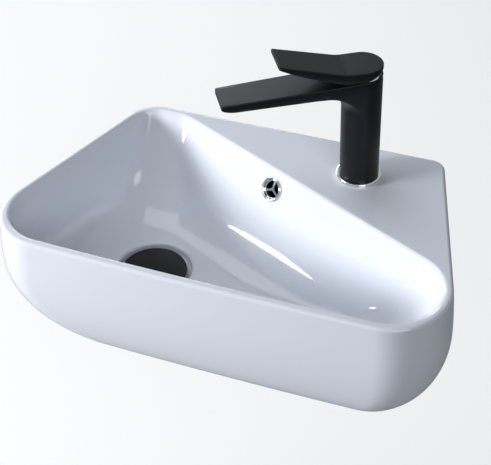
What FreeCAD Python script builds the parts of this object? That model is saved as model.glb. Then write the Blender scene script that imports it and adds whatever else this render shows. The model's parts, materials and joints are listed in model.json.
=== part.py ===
import FreeCAD, Part
import math
import os

# A small wall-hung wash basin with a slanting bowl and a tap shelf, with its mixer tap,
# overflow trim and click-clack waste.  All sizes in millimetres.
# The origin is midway between the two wall fixing holes, on the face that meets the wall.
# +X runs along the wall to the right, -Y stands out from the wall, +Z is up.

# ---- basin: outline seen from above (corners taken as sharp before they are rounded)
back_width = 327.0
front_left_reach = 244.5
front_right_reach = 237.0
basin_depth = 246.0
front_bow = 4.5
back_left_radius = 33.0
front_left_radius = 54.0
front_right_radius = 56.0
back_right_radius = 15.0
front_left_radius_growth = 15.0
front_right_radius_growth = -26.0

# ---- basin: heights and outer skin
rim_height = 65.0
basin_height = 130.0
skirt_straight = 48.0
front_tuck = 24.0
left_tuck = 67.0
right_tuck = 53.0
front_swell = 1.6
side_swell = 2.4
flat_enough = 0.001
outer_rim_round = 3.0
skin = 9.0

# ---- bowl
rim_width = 7.5
front_rim_extra = 1.9
under_bowl = 35.0
wall_lean = 0.16
shelf_wall_lean = 0.49
floor_back_run = 4.4
floor_fold = 40.0
fold_end = 0.975
tuck_end = 0.985
crest_round = 3.2
bowl_back_run = 49.0
bowl_back_left_radius = 30.0
bowl_back_right_radius = 55.0
bowl_front_left_radius = 47.0
bowl_front_right_radius = 47.5
bowl_back_left_narrowing = 0.2
bowl_back_right_narrowing = 0.45
bowl_front_left_narrowing = 0.2
bowl_front_right_narrowing = 0.35

# ---- hollow between the skins, open underneath behind the bowl
shelf_thickness = 12.0
skin_lift = 1.5
opening_margin = 3.0
opening_reach = 20.0

# ---- wall fixing holes
bolt_spacing = 140.0
bolt_hole_radius = 6.5

# ---- waste position and holes, measured from the origin
waste_x = -95.8
waste_y = -146.2
waste_hole_radius = 23.0
waste_recess_radius = 39.0
waste_recess_depth = 9.0
recess_wall = 5.0

# ---- overflow
overflow_along_shelf = 140.0
overflow_drop = 18.5
overflow_hole_radius = 11.2
duct_skin = 8.0
duct_gap = 12.0
duct_width = 30.0
overflow_flange_radius = 12.5
overflow_flange_thickness = 1.6
overflow_flange_lift = 0.2
overflow_barrel_gap = 0.3
overflow_barrel_wall = 1.3
overflow_barrel_length = 9.0
spoke_width = 2.2
spoke_thickness = 1.6
spoke_depth = 3.0
spoke_ring_wall = 1.0
spoke_hub_radius = 2.0

# ---- waste
flange_radius = 32.0
flange_thickness = 2.5
top_gasket_thickness = 1.0
tail_radius = 20.9
tail_wall = 3.4
tail_below_basin = 42.0
tail_free_length = 20.0
tail_groove_width = 1.5
tail_groove_depth = 0.8
cap_radius = 33.8
cap_edge = 3.0
cap_dome = 2.4
cap_travel = 8.0
cap_seal_radius = 26.0
cap_seal_width = 3.0
cap_seal_height = 1.5
rest_gap = 0.3
spider_depth = 17.0
spider_thickness = 6.0
click_sleeve_radius = 9.0
click_sleeve_wall = 1.6
click_sleeve_length = 30.0
plunger_radius = 4.6
collar_height = 3.0
lid_thickness = 2.0
sleeve_above_spider = 5.0
cap_lift = 1.0
spring_wire = 1.0
spring_turns = 5
taper_gasket_height = 6.0
slip_washer_thickness = 2.0
back_nut_height = 12.0
back_nut_radius = 29.0

# ---- tap: place, column and spout (heights are over the shelf)
tap_x = 89.4
tap_y = -46.9
spout_heading = 213.2
column_radius = 19.2
column_top = 119.0
base_ring_radius = 22.5
base_ring_height = 3.6
base_gasket_thickness = 1.0
tap_hole_radius = 17.5
boss_clearance = 0.2
boss_drop = 3.0
spout_reach = 136.8
spout_tip_width = 33.0
spout_tip_top = 114.4
spout_root_top = 118.4
spout_under = 106.2
spout_tip_thickness = 5.0
spout_tip_rise_length = 14.0
spout_web_radius = 8.0
tip_corner_radius = 2.5

# ---- tap: aerator in the spout's underside
aerator_from_tip = 26.5
aerator_radius = 9.8
aerator_height = 6.0
waterway_radius = 2.8

# ---- tap: lever
lever_lift_angle = 16.0
pivot_height = 112.0
lever_gap = 0.7
lever_heel_bevel = 17.0
lever_cap_top = 130.0
lever_reach = 83.0
lever_tip_top = 148.0
lever_tip_width = 34.6
lever_tip_thickness = 3.6
lever_crease = 21.0
dome_radius = 19.0
dome_top = 122.8
dome_bore_radius = 13.5
hollow_radius = 19.4
lever_roof = 127.4
stem_side = 7.0
stem_lift = 1.6
socket_boss_radius = 6.6
socket_boss_bottom = 117.6
grub_radius = 1.9
grub_length = 8.0
plug_radius = 2.9
plug_length = 3.0

# ---- tap: cartridge
cartridge_radius = 12.5
cartridge_seat = 88.0
cartridge_base_height = 3.0
disc_height = 3.0
fixed_disc_radius = 10.0
moving_disc_radius = 8.0
carrier_height = 4.0
housing_wall = 2.2
housing_shoulder = 105.5
neck_radius = 9.8
rotor_radius = 8.3
rotor_top = 114.0
retaining_nut_radius = 15.0
retaining_nut_top = 115.0
pin_radius = 1.25
ball_radius = 2.0
ball_height = 100.0
running_gap = 0.06
free_gap = 0.3

# ---- tap: fixing under the shelf
stud_radius = 4.0
stud_offset = 9.5
stud_length = 74.0
inlet_radius = 4.6
inlet_depth = 16.0
horseshoe_radius = 25.0
horseshoe_slot = 27.0
horseshoe_gasket_thickness = 3.0
horseshoe_plate_thickness = 2.5
stud_nut_height = 8.0
stud_nut_across = 13.0

PARTS_FOLDER = "parts"


def vec(x, y, z=0.0):
    return FreeCAD.Vector(x, y, z)


UP = vec(0, 0, 1)
corner_back_right = vec(back_width / 2.0, 0)
corner_back_left = vec(-back_width / 2.0, 0)
corner_front_left = vec(-front_left_reach, -basin_depth)
corner_front_right = vec(front_right_reach, -basin_depth)
bow_half_chord = (front_left_reach + front_right_reach) / 2.0
bow_radius = (bow_half_chord ** 2 + front_bow ** 2) / (2.0 * front_bow)
bow_centre = vec((front_right_reach - front_left_reach) / 2.0,
                 -basin_depth - front_bow + bow_radius)
rim_z = rim_height
bowl_depth = basin_height - under_bowl
underside_z = rim_z - basin_height
bowl_floor_z = rim_z - bowl_depth
recess_z = bowl_floor_z - waste_recess_depth
overflow_barrel_radius = overflow_hole_radius - overflow_barrel_gap
flange_base = recess_z + top_gasket_thickness
flange_top = flange_base + flange_thickness
tail_bore = tail_radius - tail_wall
tail_end = underside_z - tail_below_basin
spider_top = flange_top - spider_depth
sleeve_top = spider_top + sleeve_above_spider
sleeve_bottom = sleeve_top - click_sleeve_length
sleeve_bore = click_sleeve_radius - click_sleeve_wall
collar_top = sleeve_top - lid_thickness - cap_travel - free_gap
collar_bottom = collar_top - collar_height
spring_seat = sleeve_bottom + lid_thickness
cap_under = flange_top + cap_lift
tap_axis = vec(tap_x, tap_y)
spout_angle = math.radians(spout_heading)
spout_dir = vec(math.cos(spout_angle), math.sin(spout_angle))
spout_side = vec(-math.sin(spout_angle), math.cos(spout_angle))


# ---------------------------------------------------------------- helpers for rounded outlines

def inward(direction):
    """Left-hand normal of a direction walked counterclockwise."""
    return vec(-direction.y, direction.x)


def line_side(start, end, inset):
    """A straight side of an outline, moved inwards by the inset."""
    direction = (end - start).normalize()
    return ("line", start + inward(direction) * inset, direction)


def front_side(inset):
    """The bowed front side, moved inwards by the inset."""
    return ("arc", bow_centre, bow_radius - inset)


def corner_between(first, second, radius):
    """Start, middle and end of the round corner between two sides of an outline."""
    if first[0] == "line" and second[0] == "line":
        point_a = first[1] + inward(first[2]) * radius
        point_b = second[1] + inward(second[2]) * radius
        cross = first[2].x * second[2].y - first[2].y * second[2].x
        gap = point_b - point_a
        along = (gap.x * second[2].y - gap.y * second[2].x) / cross
        centre = point_a + first[2] * along
        start = centre - inward(first[2]) * radius
        end = centre - inward(second[2]) * radius
    else:
        straight = first if first[0] == "line" else second
        bowed = second if first[0] == "line" else first
        point = straight[1] + inward(straight[2]) * radius
        reach = bowed[2] - radius
        offset = point - bowed[1]
        half = offset.dot(straight[2])
        root = math.sqrt(half ** 2 - offset.dot(offset) + reach ** 2)
        along = -half + root if first[0] == "line" else -half - root
        centre = point + straight[2] * along
        on_line = centre - inward(straight[2]) * radius
        on_bow = bowed[1] + (centre - bowed[1]) * (bowed[2] / reach)
        start = on_line if first[0] == "line" else on_bow
        end = on_bow if first[0] == "line" else on_line
    middle_dir = (start - centre) + (end - centre)
    middle = centre + middle_dir.normalize() * radius
    return (start, middle, end)


def rounded_outline(sides, radii, z):
    """Closed wire of the sides, with corner i rounded between side i and side i + 1."""
    count = len(sides)
    lift = vec(0, 0, z)
    corners = []
    for i in range(count):
        corners.append(corner_between(sides[i], sides[(i + 1) % count], radii[i]))
    edges = []
    for i in range(count):
        start = corners[i - 1][2] + lift
        end = corners[i][0] + lift
        if sides[i][0] == "line":
            edges.append(Part.LineSegment(start, end).toShape())
        else:
            middle_dir = (start + end) * 0.5 - lift - sides[i][1]
            middle = sides[i][1] + middle_dir.normalize() * sides[i][2] + lift
            edges.append(Part.Arc(start, middle, end).toShape())
        arc = Part.Arc(end, corners[i][1] + lift, corners[i][2] + lift)
        edges.append(arc.toShape())
    return Part.Wire(edges)


def quarter(fraction):
    """Rise of a quarter ellipse: 0 at the start, 1 at the end, steep at the end."""
    return 1.0 - math.sqrt(max(0.0, 1.0 - fraction ** 2))


def polygon_face(points):
    return Part.Face(Part.makePolygon(list(points) + [points[0]]))


def cylinder(radius, height, base, axis=UP):
    return Part.makeCylinder(radius, height, base, axis)


def tube(outer, inner, height, base, axis=UP):
    return cylinder(outer, height, base, axis).cut(cylinder(inner, height, base, axis))


def tap_point(along, side=0.0, height=0.0):
    """A point given along the spout, to its side, and over the shelf."""
    return tap_axis + spout_dir * along + spout_side * side + vec(0, 0, rim_z + height)


def waste_point(z):
    return vec(waste_x, waste_y, z)


def turn_to_tap(shape):
    """Carry a shape drawn along +X at the shelf's level to the tap's place and heading."""
    shape.rotate(vec(0, 0, 0), UP, spout_heading)
    shape.translate(tap_axis + vec(0, 0, rim_z))
    return shape


def revolve_profile(points, base):
    """Solid of a closed (radius, z) profile turned about a vertical axis."""
    face = polygon_face([vec(p[0], 0, p[1]) for p in points])
    solid = face.revolve(vec(0, 0, 0), UP, 360)
    solid.translate(base)
    return solid


def hexagon(across, height, base):
    corner = across / math.sqrt(3.0)
    points = []
    for i in range(6):
        angle = math.radians(60.0 * i)
        points.append(base + vec(corner * math.cos(angle), corner * math.sin(angle)))
    return polygon_face(points).extrude(vec(0, 0, height))


# ---------------------------------------------------------------- line of the shelf's edge

def bowl_corner_centre():
    """Centre of the bowl's front right corner: it touches the front rim and the right rim."""
    right = line_side(corner_front_right, corner_back_right, rim_width)
    front = front_side(rim_width + front_rim_extra)
    touch = corner_between(front, right, bowl_front_right_radius)[2]
    return touch + inward(right[2]) * bowl_front_right_radius


def shelf_heading():
    """Heading of the shelf's edge: from its back end it just touches that corner."""
    to_corner = bowl_corner_centre() - shelf_back_end
    spread = math.asin(bowl_front_right_radius / to_corner.Length)
    return math.atan2(to_corner.y, to_corner.x) + spread


shelf_back_end = corner_back_left + vec(bowl_back_run, -rim_width)
shelf_dir = vec(math.cos(shelf_heading()), math.sin(shelf_heading()))
shelf_in = vec(shelf_dir.y, -shelf_dir.x)


# ---------------------------------------------------------------- basin

def skirt_outline(drop, inset=0.0):
    """Outer outline of the basin at a depth below the rim, moved inwards by the inset."""
    share = max(0.0, (drop - skirt_straight) / (basin_height - skirt_straight))
    tuck = quarter(min(share, tuck_end))
    swell = math.sin(math.pi / 2.0 * min(1.0, drop / skirt_straight))
    left = left_tuck * tuck - side_swell * swell + inset
    right = right_tuck * tuck - side_swell * swell + inset
    front = front_tuck * tuck - front_swell * swell + inset
    sides = [line_side(corner_back_right, corner_back_left, inset),
             line_side(corner_back_left, corner_front_left, left),
             front_side(front),
             line_side(corner_front_right, corner_back_right, right)]
    radii = [back_left_radius, front_left_radius + front_left_radius_growth * tuck,
             front_right_radius + front_right_radius_growth * tuck, back_right_radius]
    return rounded_outline(sides, [r - inset * 0.6 for r in radii], rim_z - drop)


def skirt_solid():
    """The basin's whole outer form: upright sides that tuck in towards the underside."""
    share_steps = (0.0, 0.3, 0.55, 0.75, 0.9, 1.0)
    below = basin_height - skirt_straight
    drops = [0.0, skirt_straight * 0.5]
    drops += [skirt_straight + below * s for s in share_steps]
    return with_flat_back(Part.makeLoft([skirt_outline(d) for d in drops], True, False))


def with_flat_back(form):
    """The same solid, its back face laid anew as a true plane inside the same edges."""
    plane = Part.Plane(vec(0, 0), vec(0, 1))
    faces = []
    for face in form.Faces:
        on_wall = face.BoundBox.YMin > -flat_enough
        faces.append(Part.Face(plane, [face.OuterWire]) if on_wall else face)
    return Part.Solid(Part.Shell(faces))


def back_wall_lean():
    """Lean of the bowl's back wall that leaves the wanted straight run at the floor."""
    fold = floor_fold * quarter(fold_end)
    left = line_side(corner_back_left, corner_front_left,
                     rim_width + bowl_depth * wall_lean + fold)
    shelf = shelf_back_end + shelf_in * (bowl_depth * shelf_wall_lean + fold)
    left_slope = left[2].x / left[2].y
    shelf_slope = shelf_dir.x / shelf_dir.y
    left_turn = math.acos(-left[2].x) / 2.0
    right_turn = math.acos(shelf_dir.x) / 2.0
    left_radius = bowl_back_left_radius * (1.0 - bowl_back_left_narrowing)
    right_radius = bowl_back_right_radius * (1.0 - bowl_back_right_narrowing)
    run = (floor_back_run + left_radius * math.tan(left_turn)
           + right_radius * math.tan(right_turn))
    at_wall = shelf.x - shelf.y * shelf_slope - left[1].x + left[1].y * left_slope
    back_y = (run - at_wall) / (shelf_slope - left_slope)
    return (-back_y - rim_width - fold) / bowl_depth


def bowl_insets(drop):
    """How far the bowl's plain walls, shelf wall and back wall stand in at a depth."""
    share = max(0.0, (drop - (bowl_depth - floor_fold)) / floor_fold)
    fold = floor_fold * quarter(min(share, fold_end))
    return (drop * wall_lean + fold, drop * shelf_wall_lean + fold,
            drop * back_wall_lean() + fold)


def bowl_outline(drop, grow=0.0):
    """Outline of the bowl at a depth below the rim, wider all round by grow."""
    plain, sloped, back = bowl_insets(drop)
    plain = plain + rim_width - grow
    share = drop / bowl_depth
    shelf_start = shelf_back_end + shelf_in * (sloped - grow)
    sides = [("line", shelf_start, shelf_dir * -1.0),
             line_side(corner_back_right, corner_back_left, back + rim_width - grow),
             line_side(corner_back_left, corner_front_left, plain),
             front_side(plain + front_rim_extra)]
    radii = [bowl_back_right_radius * (1.0 - bowl_back_right_narrowing * share) + grow,
             bowl_back_left_radius * (1.0 - bowl_back_left_narrowing * share) + grow,
             bowl_front_left_radius * (1.0 - bowl_front_left_narrowing * share) + grow,
             bowl_front_right_radius * (1.0 - bowl_front_right_narrowing * share) + grow]
    return rounded_outline(sides, radii, rim_z - drop)


def bowl_solid():
    """The space in the bowl: leaning walls that fold into a flat floor."""
    upper = bowl_depth - floor_fold
    drops = [0.0, upper * 0.5, upper]
    drops += [upper + floor_fold * s for s in (0.35, 0.62, 0.82, 0.94, 1.0)]
    return Part.makeLoft([bowl_outline(d) for d in drops], True, False)


def room_solid():
    """Space between the outer skin and the bowl's skin, before anything crosses it."""
    below = basin_height - skin - skirt_straight
    drops = [shelf_thickness] + [skirt_straight + below * s for s in (0.0, 0.4, 0.75, 1.0)]
    inner = Part.makeLoft([skirt_outline(d, skin) for d in drops], True, False)
    upper = bowl_depth - floor_fold
    steps = [0.0, upper * 0.5, upper]
    steps += [upper + floor_fold * s for s in (0.35, 0.62, 0.82, 0.94, 1.0)]
    sections = [bowl_outline(d, skin - skin_lift) for d in steps]
    for section in sections:
        section.translate(vec(0, 0, -skin))
    return inner.cut(Part.makeLoft(sections, True, False))


def underside_opening():
    """Opening in the underside, behind the bowl, where the fixings are reached."""
    outline = Part.Face(skirt_outline(basin_height - skin, skin + opening_margin))
    plate = outline.extrude(vec(0, 0, -2.0 * skin))
    edge = shelf_back_end + shelf_in * opening_reach
    far = front_left_reach * 2.0
    corners = [edge - shelf_dir * far, edge + shelf_dir * far,
               edge + shelf_dir * far - shelf_in * far, edge - shelf_dir * far - shelf_in * far]
    behind = polygon_face([c + vec(0, 0, underside_z - 1.0) for c in corners])
    return plate.common(behind.extrude(vec(0, 0, 2.0 * skin)))


def shelf_frame_point(along, into_bowl, drop):
    """A point measured along the shelf edge, into the bowl, and below the rim."""
    return shelf_back_end + shelf_dir * along + shelf_in * into_bowl + vec(0, 0, rim_z - drop)


def overflow_axis():
    """Unit vector out of the shelf wall into the bowl, square to the wall."""
    return (shelf_in + UP * shelf_wall_lean).normalize()


def overflow_point():
    """Centre of the overflow hole on the shelf wall's face."""
    into = shelf_wall_lean * overflow_drop
    return shelf_frame_point(overflow_along_shelf, into, overflow_drop)


def slab_along_shelf(points, width):
    """Prism of (into_bowl, drop) points, centred on the overflow along the shelf."""
    start = overflow_along_shelf - width / 2.0
    face = polygon_face([shelf_frame_point(start, p[0], p[1]) for p in points])
    return face.extrude(shelf_dir * width)


def duct_profile(behind, ahead, top, bottom):
    """Strip that follows the shelf wall: between two distances behind its face."""
    return [(shelf_wall_lean * top - behind, top),
            (shelf_wall_lean * bottom - behind, bottom),
            (shelf_wall_lean * bottom - ahead, bottom),
            (shelf_wall_lean * top - ahead, top)]


def duct_level():
    """Depth of the middle of the hidden chamber between bowl floor and underside."""
    return (bowl_depth + waste_recess_depth + basin_height) / 2.0


def duct_foot():
    """Where the overflow duct turns towards the waste, on the middle of its level."""
    into = shelf_wall_lean * duct_level() - duct_skin - duct_gap / 2.0
    return shelf_frame_point(overflow_along_shelf, into, duct_level())


def duct_run(width, height):
    """Level block from the duct's foot to the waste hole."""
    run = waste_point(duct_foot().z) - duct_foot()
    side = inward(vec(run.x, run.y).normalize()) * (width / 2.0)
    corner = duct_foot() - side - vec(0, 0, height / 2.0)
    floor = polygon_face([corner, corner + side * 2.0, corner + side * 2.0 + run, corner + run])
    return floor.extrude(vec(0, 0, height))


def duct_walls():
    """Solid blocks that stay standing in the hollow round the overflow's way."""
    behind = 2.0 * duct_skin + duct_gap
    upright = slab_along_shelf(duct_profile(behind, 0.0, shelf_thickness * 0.5, basin_height),
                               duct_width + 2.0 * duct_skin)
    level = duct_run(duct_width + 2.0 * duct_skin, 2.0 * skin + duct_gap + 12.0)
    round_waste = cylinder(waste_hole_radius + duct_skin, basin_height, waste_point(underside_z))
    under_recess = cylinder(waste_recess_radius + recess_wall, skin + waste_recess_depth,
                            waste_point(recess_z - skin))
    return [upright, level, round_waste, under_recess]


def duct_void():
    """Hidden way from the overflow hole down to the waste hole."""
    top = overflow_drop - overflow_hole_radius * 0.6
    upright = slab_along_shelf(duct_profile(duct_skin + duct_gap, duct_skin, top,
                                            duct_level() + duct_gap / 2.0), duct_width)
    return upright.fuse(duct_run(duct_width, duct_gap))


def bolt_holes():
    holes = []
    for side in (-0.5, 0.5):
        base = vec(side * bolt_spacing, 1.0, 0)
        holes.append(cylinder(bolt_hole_radius, skin + 2.0, base, vec(0, -1, 0)))
    return holes


def rim_edges(body):
    """Edges of the basin's top face: the outer ones and the bowl's."""
    outer = []
    crest = []
    outline = skirt_outline(0.0)
    for edge in body.Edges:
        box = edge.BoundBox
        if abs(box.ZMin - rim_z) < 1e-4 and abs(box.ZMax - rim_z) < 1e-4:
            middle = edge.valueAt((edge.FirstParameter + edge.LastParameter) / 2.0)
            distance = Part.Vertex(middle).distToShape(outline)[0]
            target = outer if distance < rim_width * 0.3 else crest
            target.append(edge)
    return outer, crest


def basin_body():
    """Glazed body: skirt, bowl, rounded rims, hollow, duct and the holes for its fittings."""
    body = skirt_solid().cut(bowl_solid())
    outer, crest = rim_edges(body)
    body = body.makeFillet(outer_rim_round, outer)
    outer, crest = rim_edges(body)
    body = body.makeFillet(crest_round, crest)
    body = body.cut(room_solid().cut(duct_walls()))
    body = body.cut(underside_opening())
    body = body.cut(duct_void())
    into = overflow_axis() * -1.0
    overflow_start = overflow_point() - into * 4.0
    reach = 4.0 + duct_skin + duct_gap * 0.5
    body = body.cut(cylinder(overflow_hole_radius, reach, overflow_start, into))
    body = body.cut(cylinder(waste_recess_radius, waste_recess_depth + 2.0,
                             waste_point(recess_z)))
    body = body.cut(cylinder(waste_hole_radius, basin_height, waste_point(underside_z - 1.0)))
    body = body.cut(cylinder(tap_hole_radius, shelf_thickness + 4.0,
                             tap_axis + vec(0, 0, rim_z - shelf_thickness - 2.0)))
    for hole in bolt_holes():
        body = body.cut(hole)
    return body


# ---------------------------------------------------------------- overflow trim

def overflow_ring():
    """Chrome rosette with a barrel that grips the overflow hole."""
    axis = overflow_axis()
    face = overflow_point() + axis * overflow_flange_lift
    bore = overflow_barrel_radius - overflow_barrel_wall
    flange = tube(overflow_flange_radius, bore, overflow_flange_thickness, face, axis)
    rims = [e for e in flange.Edges
            if isinstance(e.Curve, Part.Circle) and e.Curve.Radius > overflow_barrel_radius
            and (e.CenterOfMass - face).dot(axis) > overflow_flange_thickness / 2.0]
    flange = flange.makeFillet(overflow_flange_thickness * 0.5, rims)
    barrel = tube(overflow_barrel_radius, bore, overflow_barrel_length + 0.5,
                  face - axis * overflow_barrel_length, axis)
    return flange.fuse(barrel).removeSplitter()


def overflow_spider():
    """Three-spoked insert that sits a little way inside the ring."""
    axis = overflow_axis()
    face = overflow_point() - axis * spoke_depth
    outer = overflow_barrel_radius - overflow_barrel_wall - running_gap
    shape = tube(outer, outer - spoke_ring_wall, spoke_thickness, face, axis)
    shape = shape.fuse(cylinder(spoke_hub_radius, spoke_thickness, face, axis))
    for turn in (90.0, 210.0, 330.0):
        spoke = Part.makeBox(outer - 0.5, spoke_width, spoke_thickness,
                             vec(0, -spoke_width / 2.0, 0))
        spoke.rotate(vec(0, 0, 0), UP, turn)
        turned = FreeCAD.Rotation(shelf_dir, axis.cross(shelf_dir), axis, "ZXY")
        spoke.Placement = FreeCAD.Placement(face, turned).multiply(spoke.Placement)
        shape = shape.fuse(spoke)
    return shape.removeSplitter()


# ---------------------------------------------------------------- waste

def waste_top_gasket():
    return tube(flange_radius - 1.5, waste_hole_radius + 1.0, top_gasket_thickness,
                waste_point(recess_z))


def waste_body():
    """Flanged tube with a cross that carries the click mechanism, and overflow slots."""
    body = revolve_profile([(tail_bore, tail_end), (tail_radius, tail_end),
                            (tail_radius, flange_base), (flange_radius, flange_base),
                            (flange_radius, flange_top - 0.8), (flange_radius - 0.8, flange_top),
                            (tail_bore + 3.0, flange_top), (tail_bore, flange_top - 3.0)],
                           waste_point(0))
    groove = tube(tail_radius + 1.0, tail_radius - tail_groove_depth, tail_groove_width,
                  waste_point(tail_end + tail_free_length))
    body = body.cut(groove)
    hub = tube(click_sleeve_radius + 3.0, click_sleeve_radius, spider_thickness,
               waste_point(spider_top - spider_thickness))
    arms = []
    for turn in (45.0, 135.0, 225.0, 315.0):
        arm = Part.makeBox(tail_bore + 0.5 - click_sleeve_radius - 1.0, 3.0, spider_thickness,
                           vec(click_sleeve_radius + 1.0, -1.5, 0))
        arm.rotate(vec(0, 0, 0), UP, turn)
        arm.translate(waste_point(spider_top - spider_thickness))
        arms.append(arm)
    body = body.multiFuse([hub] + arms)
    slot_middle = rim_z - duct_level()
    for turn in (0.0, 90.0, 180.0, 270.0):
        slot = Part.makeBox(tail_wall + 2.0, 14.0, duct_gap * 0.7,
                            vec(tail_bore - 1.0, -7.0, 0))
        slot.rotate(vec(0, 0, 0), UP, turn)
        slot.translate(waste_point(slot_middle - duct_gap * 0.35))
        body = body.cut(slot)
    return body


def waste_cap():
    """Domed black cover with a groove for its seal."""
    edge_top = cap_under + cap_edge
    points = [vec(0, 0, cap_under), vec(cap_radius - 0.8, 0, cap_under),
              vec(cap_radius, 0, cap_under + 0.8), vec(cap_radius, 0, edge_top - 1.0)]
    outline = [Part.LineSegment(points[i], points[i + 1]).toShape() for i in range(3)]
    shoulder = vec(cap_radius - 1.4, 0, edge_top)
    corner = vec(cap_radius - 0.4, 0, edge_top - 0.25)
    outline.append(Part.Arc(points[3], corner, shoulder).toShape())
    crown = vec(0, 0, edge_top + cap_dome)
    dome = (shoulder.x ** 2 + cap_dome ** 2) / (2.0 * cap_dome)
    half = shoulder.x * 0.5
    half_way = vec(half, 0, crown.z - dome + math.sqrt(dome ** 2 - half ** 2))
    outline.append(Part.Arc(shoulder, half_way, crown).toShape())
    outline.append(Part.LineSegment(crown, points[0]).toShape())
    solid = Part.Face(Part.Wire(outline)).revolve(vec(0, 0, 0), UP, 360)
    solid.translate(waste_point(0))
    groove = tube(cap_seal_radius, cap_seal_radius - cap_seal_width,
                  cap_seal_height - (cap_under - flange_top - rest_gap),
                  waste_point(cap_under))
    return solid.cut(groove)


def cap_seal():
    return tube(cap_seal_radius, cap_seal_radius - cap_seal_width, cap_seal_height,
                waste_point(flange_top + rest_gap))


def click_plunger():
    """Pin under the cap, with the collar that the spring pushes on."""
    pin = cylinder(plunger_radius, cap_under - collar_bottom, waste_point(collar_bottom))
    collar = cylinder(sleeve_bore - free_gap, collar_height, waste_point(collar_bottom))
    return pin.fuse(collar).removeSplitter()


def click_sleeve():
    """Sleeve with a lid at each end, screwed into the cross."""
    sleeve = cylinder(click_sleeve_radius, click_sleeve_length, waste_point(sleeve_bottom))
    room = cylinder(sleeve_bore, click_sleeve_length - 2.0 * lid_thickness,
                    waste_point(spring_seat))
    way = cylinder(plunger_radius + running_gap, lid_thickness + 1.0,
                   waste_point(sleeve_top - lid_thickness - 0.5))
    drain = cylinder(2.0, lid_thickness + 1.0, waste_point(sleeve_bottom - 0.5))
    return sleeve.cut(room).cut(way).cut(drain)


def helix_point(radius, pitch, turn):
    """Point on a helix after a number of turns, and its heading there."""
    angle = 2.0 * math.pi * turn
    point = vec(radius * math.cos(angle), radius * math.sin(angle), pitch * turn)
    rise = pitch / (2.0 * math.pi)
    heading = vec(-radius * math.sin(angle), radius * math.cos(angle), rise).normalize()
    return point, heading


def touching_arc(start, apex, end):
    """Circular arc that leaves start and reaches end along the lines to the apex."""
    middle = (start + end) * 0.5
    half_chord = (end - start).Length / 2.0
    height = (apex - middle).Length
    sagitta = half_chord * ((apex - start).Length - half_chord) / height
    return Part.Arc(start, middle + (apex - middle) * (sagitta / height), end).toShape()


def click_spring():
    """Round-wire compression spring between the sleeve's floor and the collar."""
    span = collar_bottom - spring_seat - spring_wire - 0.2
    mean_radius = sleeve_bore - spring_wire - free_gap
    pitch = span / spring_turns
    edges = []
    for quarter_turn in range(4 * spring_turns):
        start, leave = helix_point(mean_radius, pitch, quarter_turn / 4.0)
        end, arrive = helix_point(mean_radius, pitch, (quarter_turn + 1) / 4.0)
        both = leave + arrive
        chord = end - start
        a = 4.0 - both.dot(both)
        b = chord.dot(both)
        reach = (-b + math.sqrt(b ** 2 + a * chord.dot(chord))) / a
        first = start + leave * reach
        second = end - arrive * reach
        joint = (first + second) * 0.5
        edges.append(touching_arc(start, first, joint))
        edges.append(touching_arc(joint, second, end))
    origin, heading = helix_point(mean_radius, pitch, 0.0)
    ring = Part.Wire(Part.makeCircle(spring_wire / 2.0, origin, heading))
    coil = Part.Wire(edges).makePipeShell([ring], True, False)
    coil.translate(waste_point(spring_seat + spring_wire * 0.5 + 0.1))
    print("spring: wire", spring_wire, "gap between turns", round(pitch - spring_wire, 2))
    return coil


def taper_gasket():
    """Rubber ring under the basin, thinner at its foot."""
    bore = tail_radius + 0.1
    top = underside_z
    foot = top - taper_gasket_height
    return revolve_profile([(bore, foot), (back_nut_radius - 3.0, foot),
                            (back_nut_radius + 1.0, top), (bore, top)], waste_point(0))


def slip_washer():
    return tube(back_nut_radius, tail_radius + 0.2, slip_washer_thickness,
                waste_point(underside_z - taper_gasket_height - slip_washer_thickness))


def back_nut():
    """Round nut with six flats for a wrench."""
    base = underside_z - taper_gasket_height - slip_washer_thickness - back_nut_height
    ring = cylinder(back_nut_radius, back_nut_height, waste_point(base))
    flats = hexagon(back_nut_radius * 1.86, back_nut_height, waste_point(base))
    bore = cylinder(tail_radius + 0.05, back_nut_height, waste_point(base))
    return ring.common(flats).cut(bore)


# ---------------------------------------------------------------- tap body

def blade_outline(reach, tip_width, height, z):
    """Flat plan shape: round at the column, narrowing a little to a square tip."""
    half_tip = tip_width / 2.0
    slope = (column_radius - half_tip) / reach
    touch = math.atan(slope)
    start = vec(column_radius * math.sin(touch), column_radius * math.cos(touch))
    tip_corner = vec(reach, half_tip)
    along = (tip_corner - start).normalize()
    near = tip_corner - along * tip_corner_radius
    past = tip_corner - vec(0, tip_corner_radius)
    inner = tip_corner - (along + vec(0, 1)) * (tip_corner_radius * 0.3)
    mirror = [vec(p.x, -p.y) for p in (start, near, inner, past)]
    edges = [Part.Arc(mirror[0], vec(-column_radius, 0), start),
             Part.LineSegment(start, near),
             Part.Arc(near, inner, past),
             Part.LineSegment(past, mirror[3]),
             Part.Arc(mirror[3], mirror[2], mirror[1]),
             Part.LineSegment(mirror[1], mirror[0])]
    face = Part.Face(Part.Wire([e.toShape() for e in edges]))
    face.translate(vec(0, 0, z))
    return face.extrude(vec(0, 0, height))


def side_prism(curves, half_width):
    """Prism of a side-view outline, drawn in X and Z, as wide as the tap."""
    face = Part.Face(Part.Wire([c.toShape() for c in curves]))
    face.translate(vec(0, half_width, 0))
    return face.extrude(vec(0, -2.0 * half_width, 0))


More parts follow.
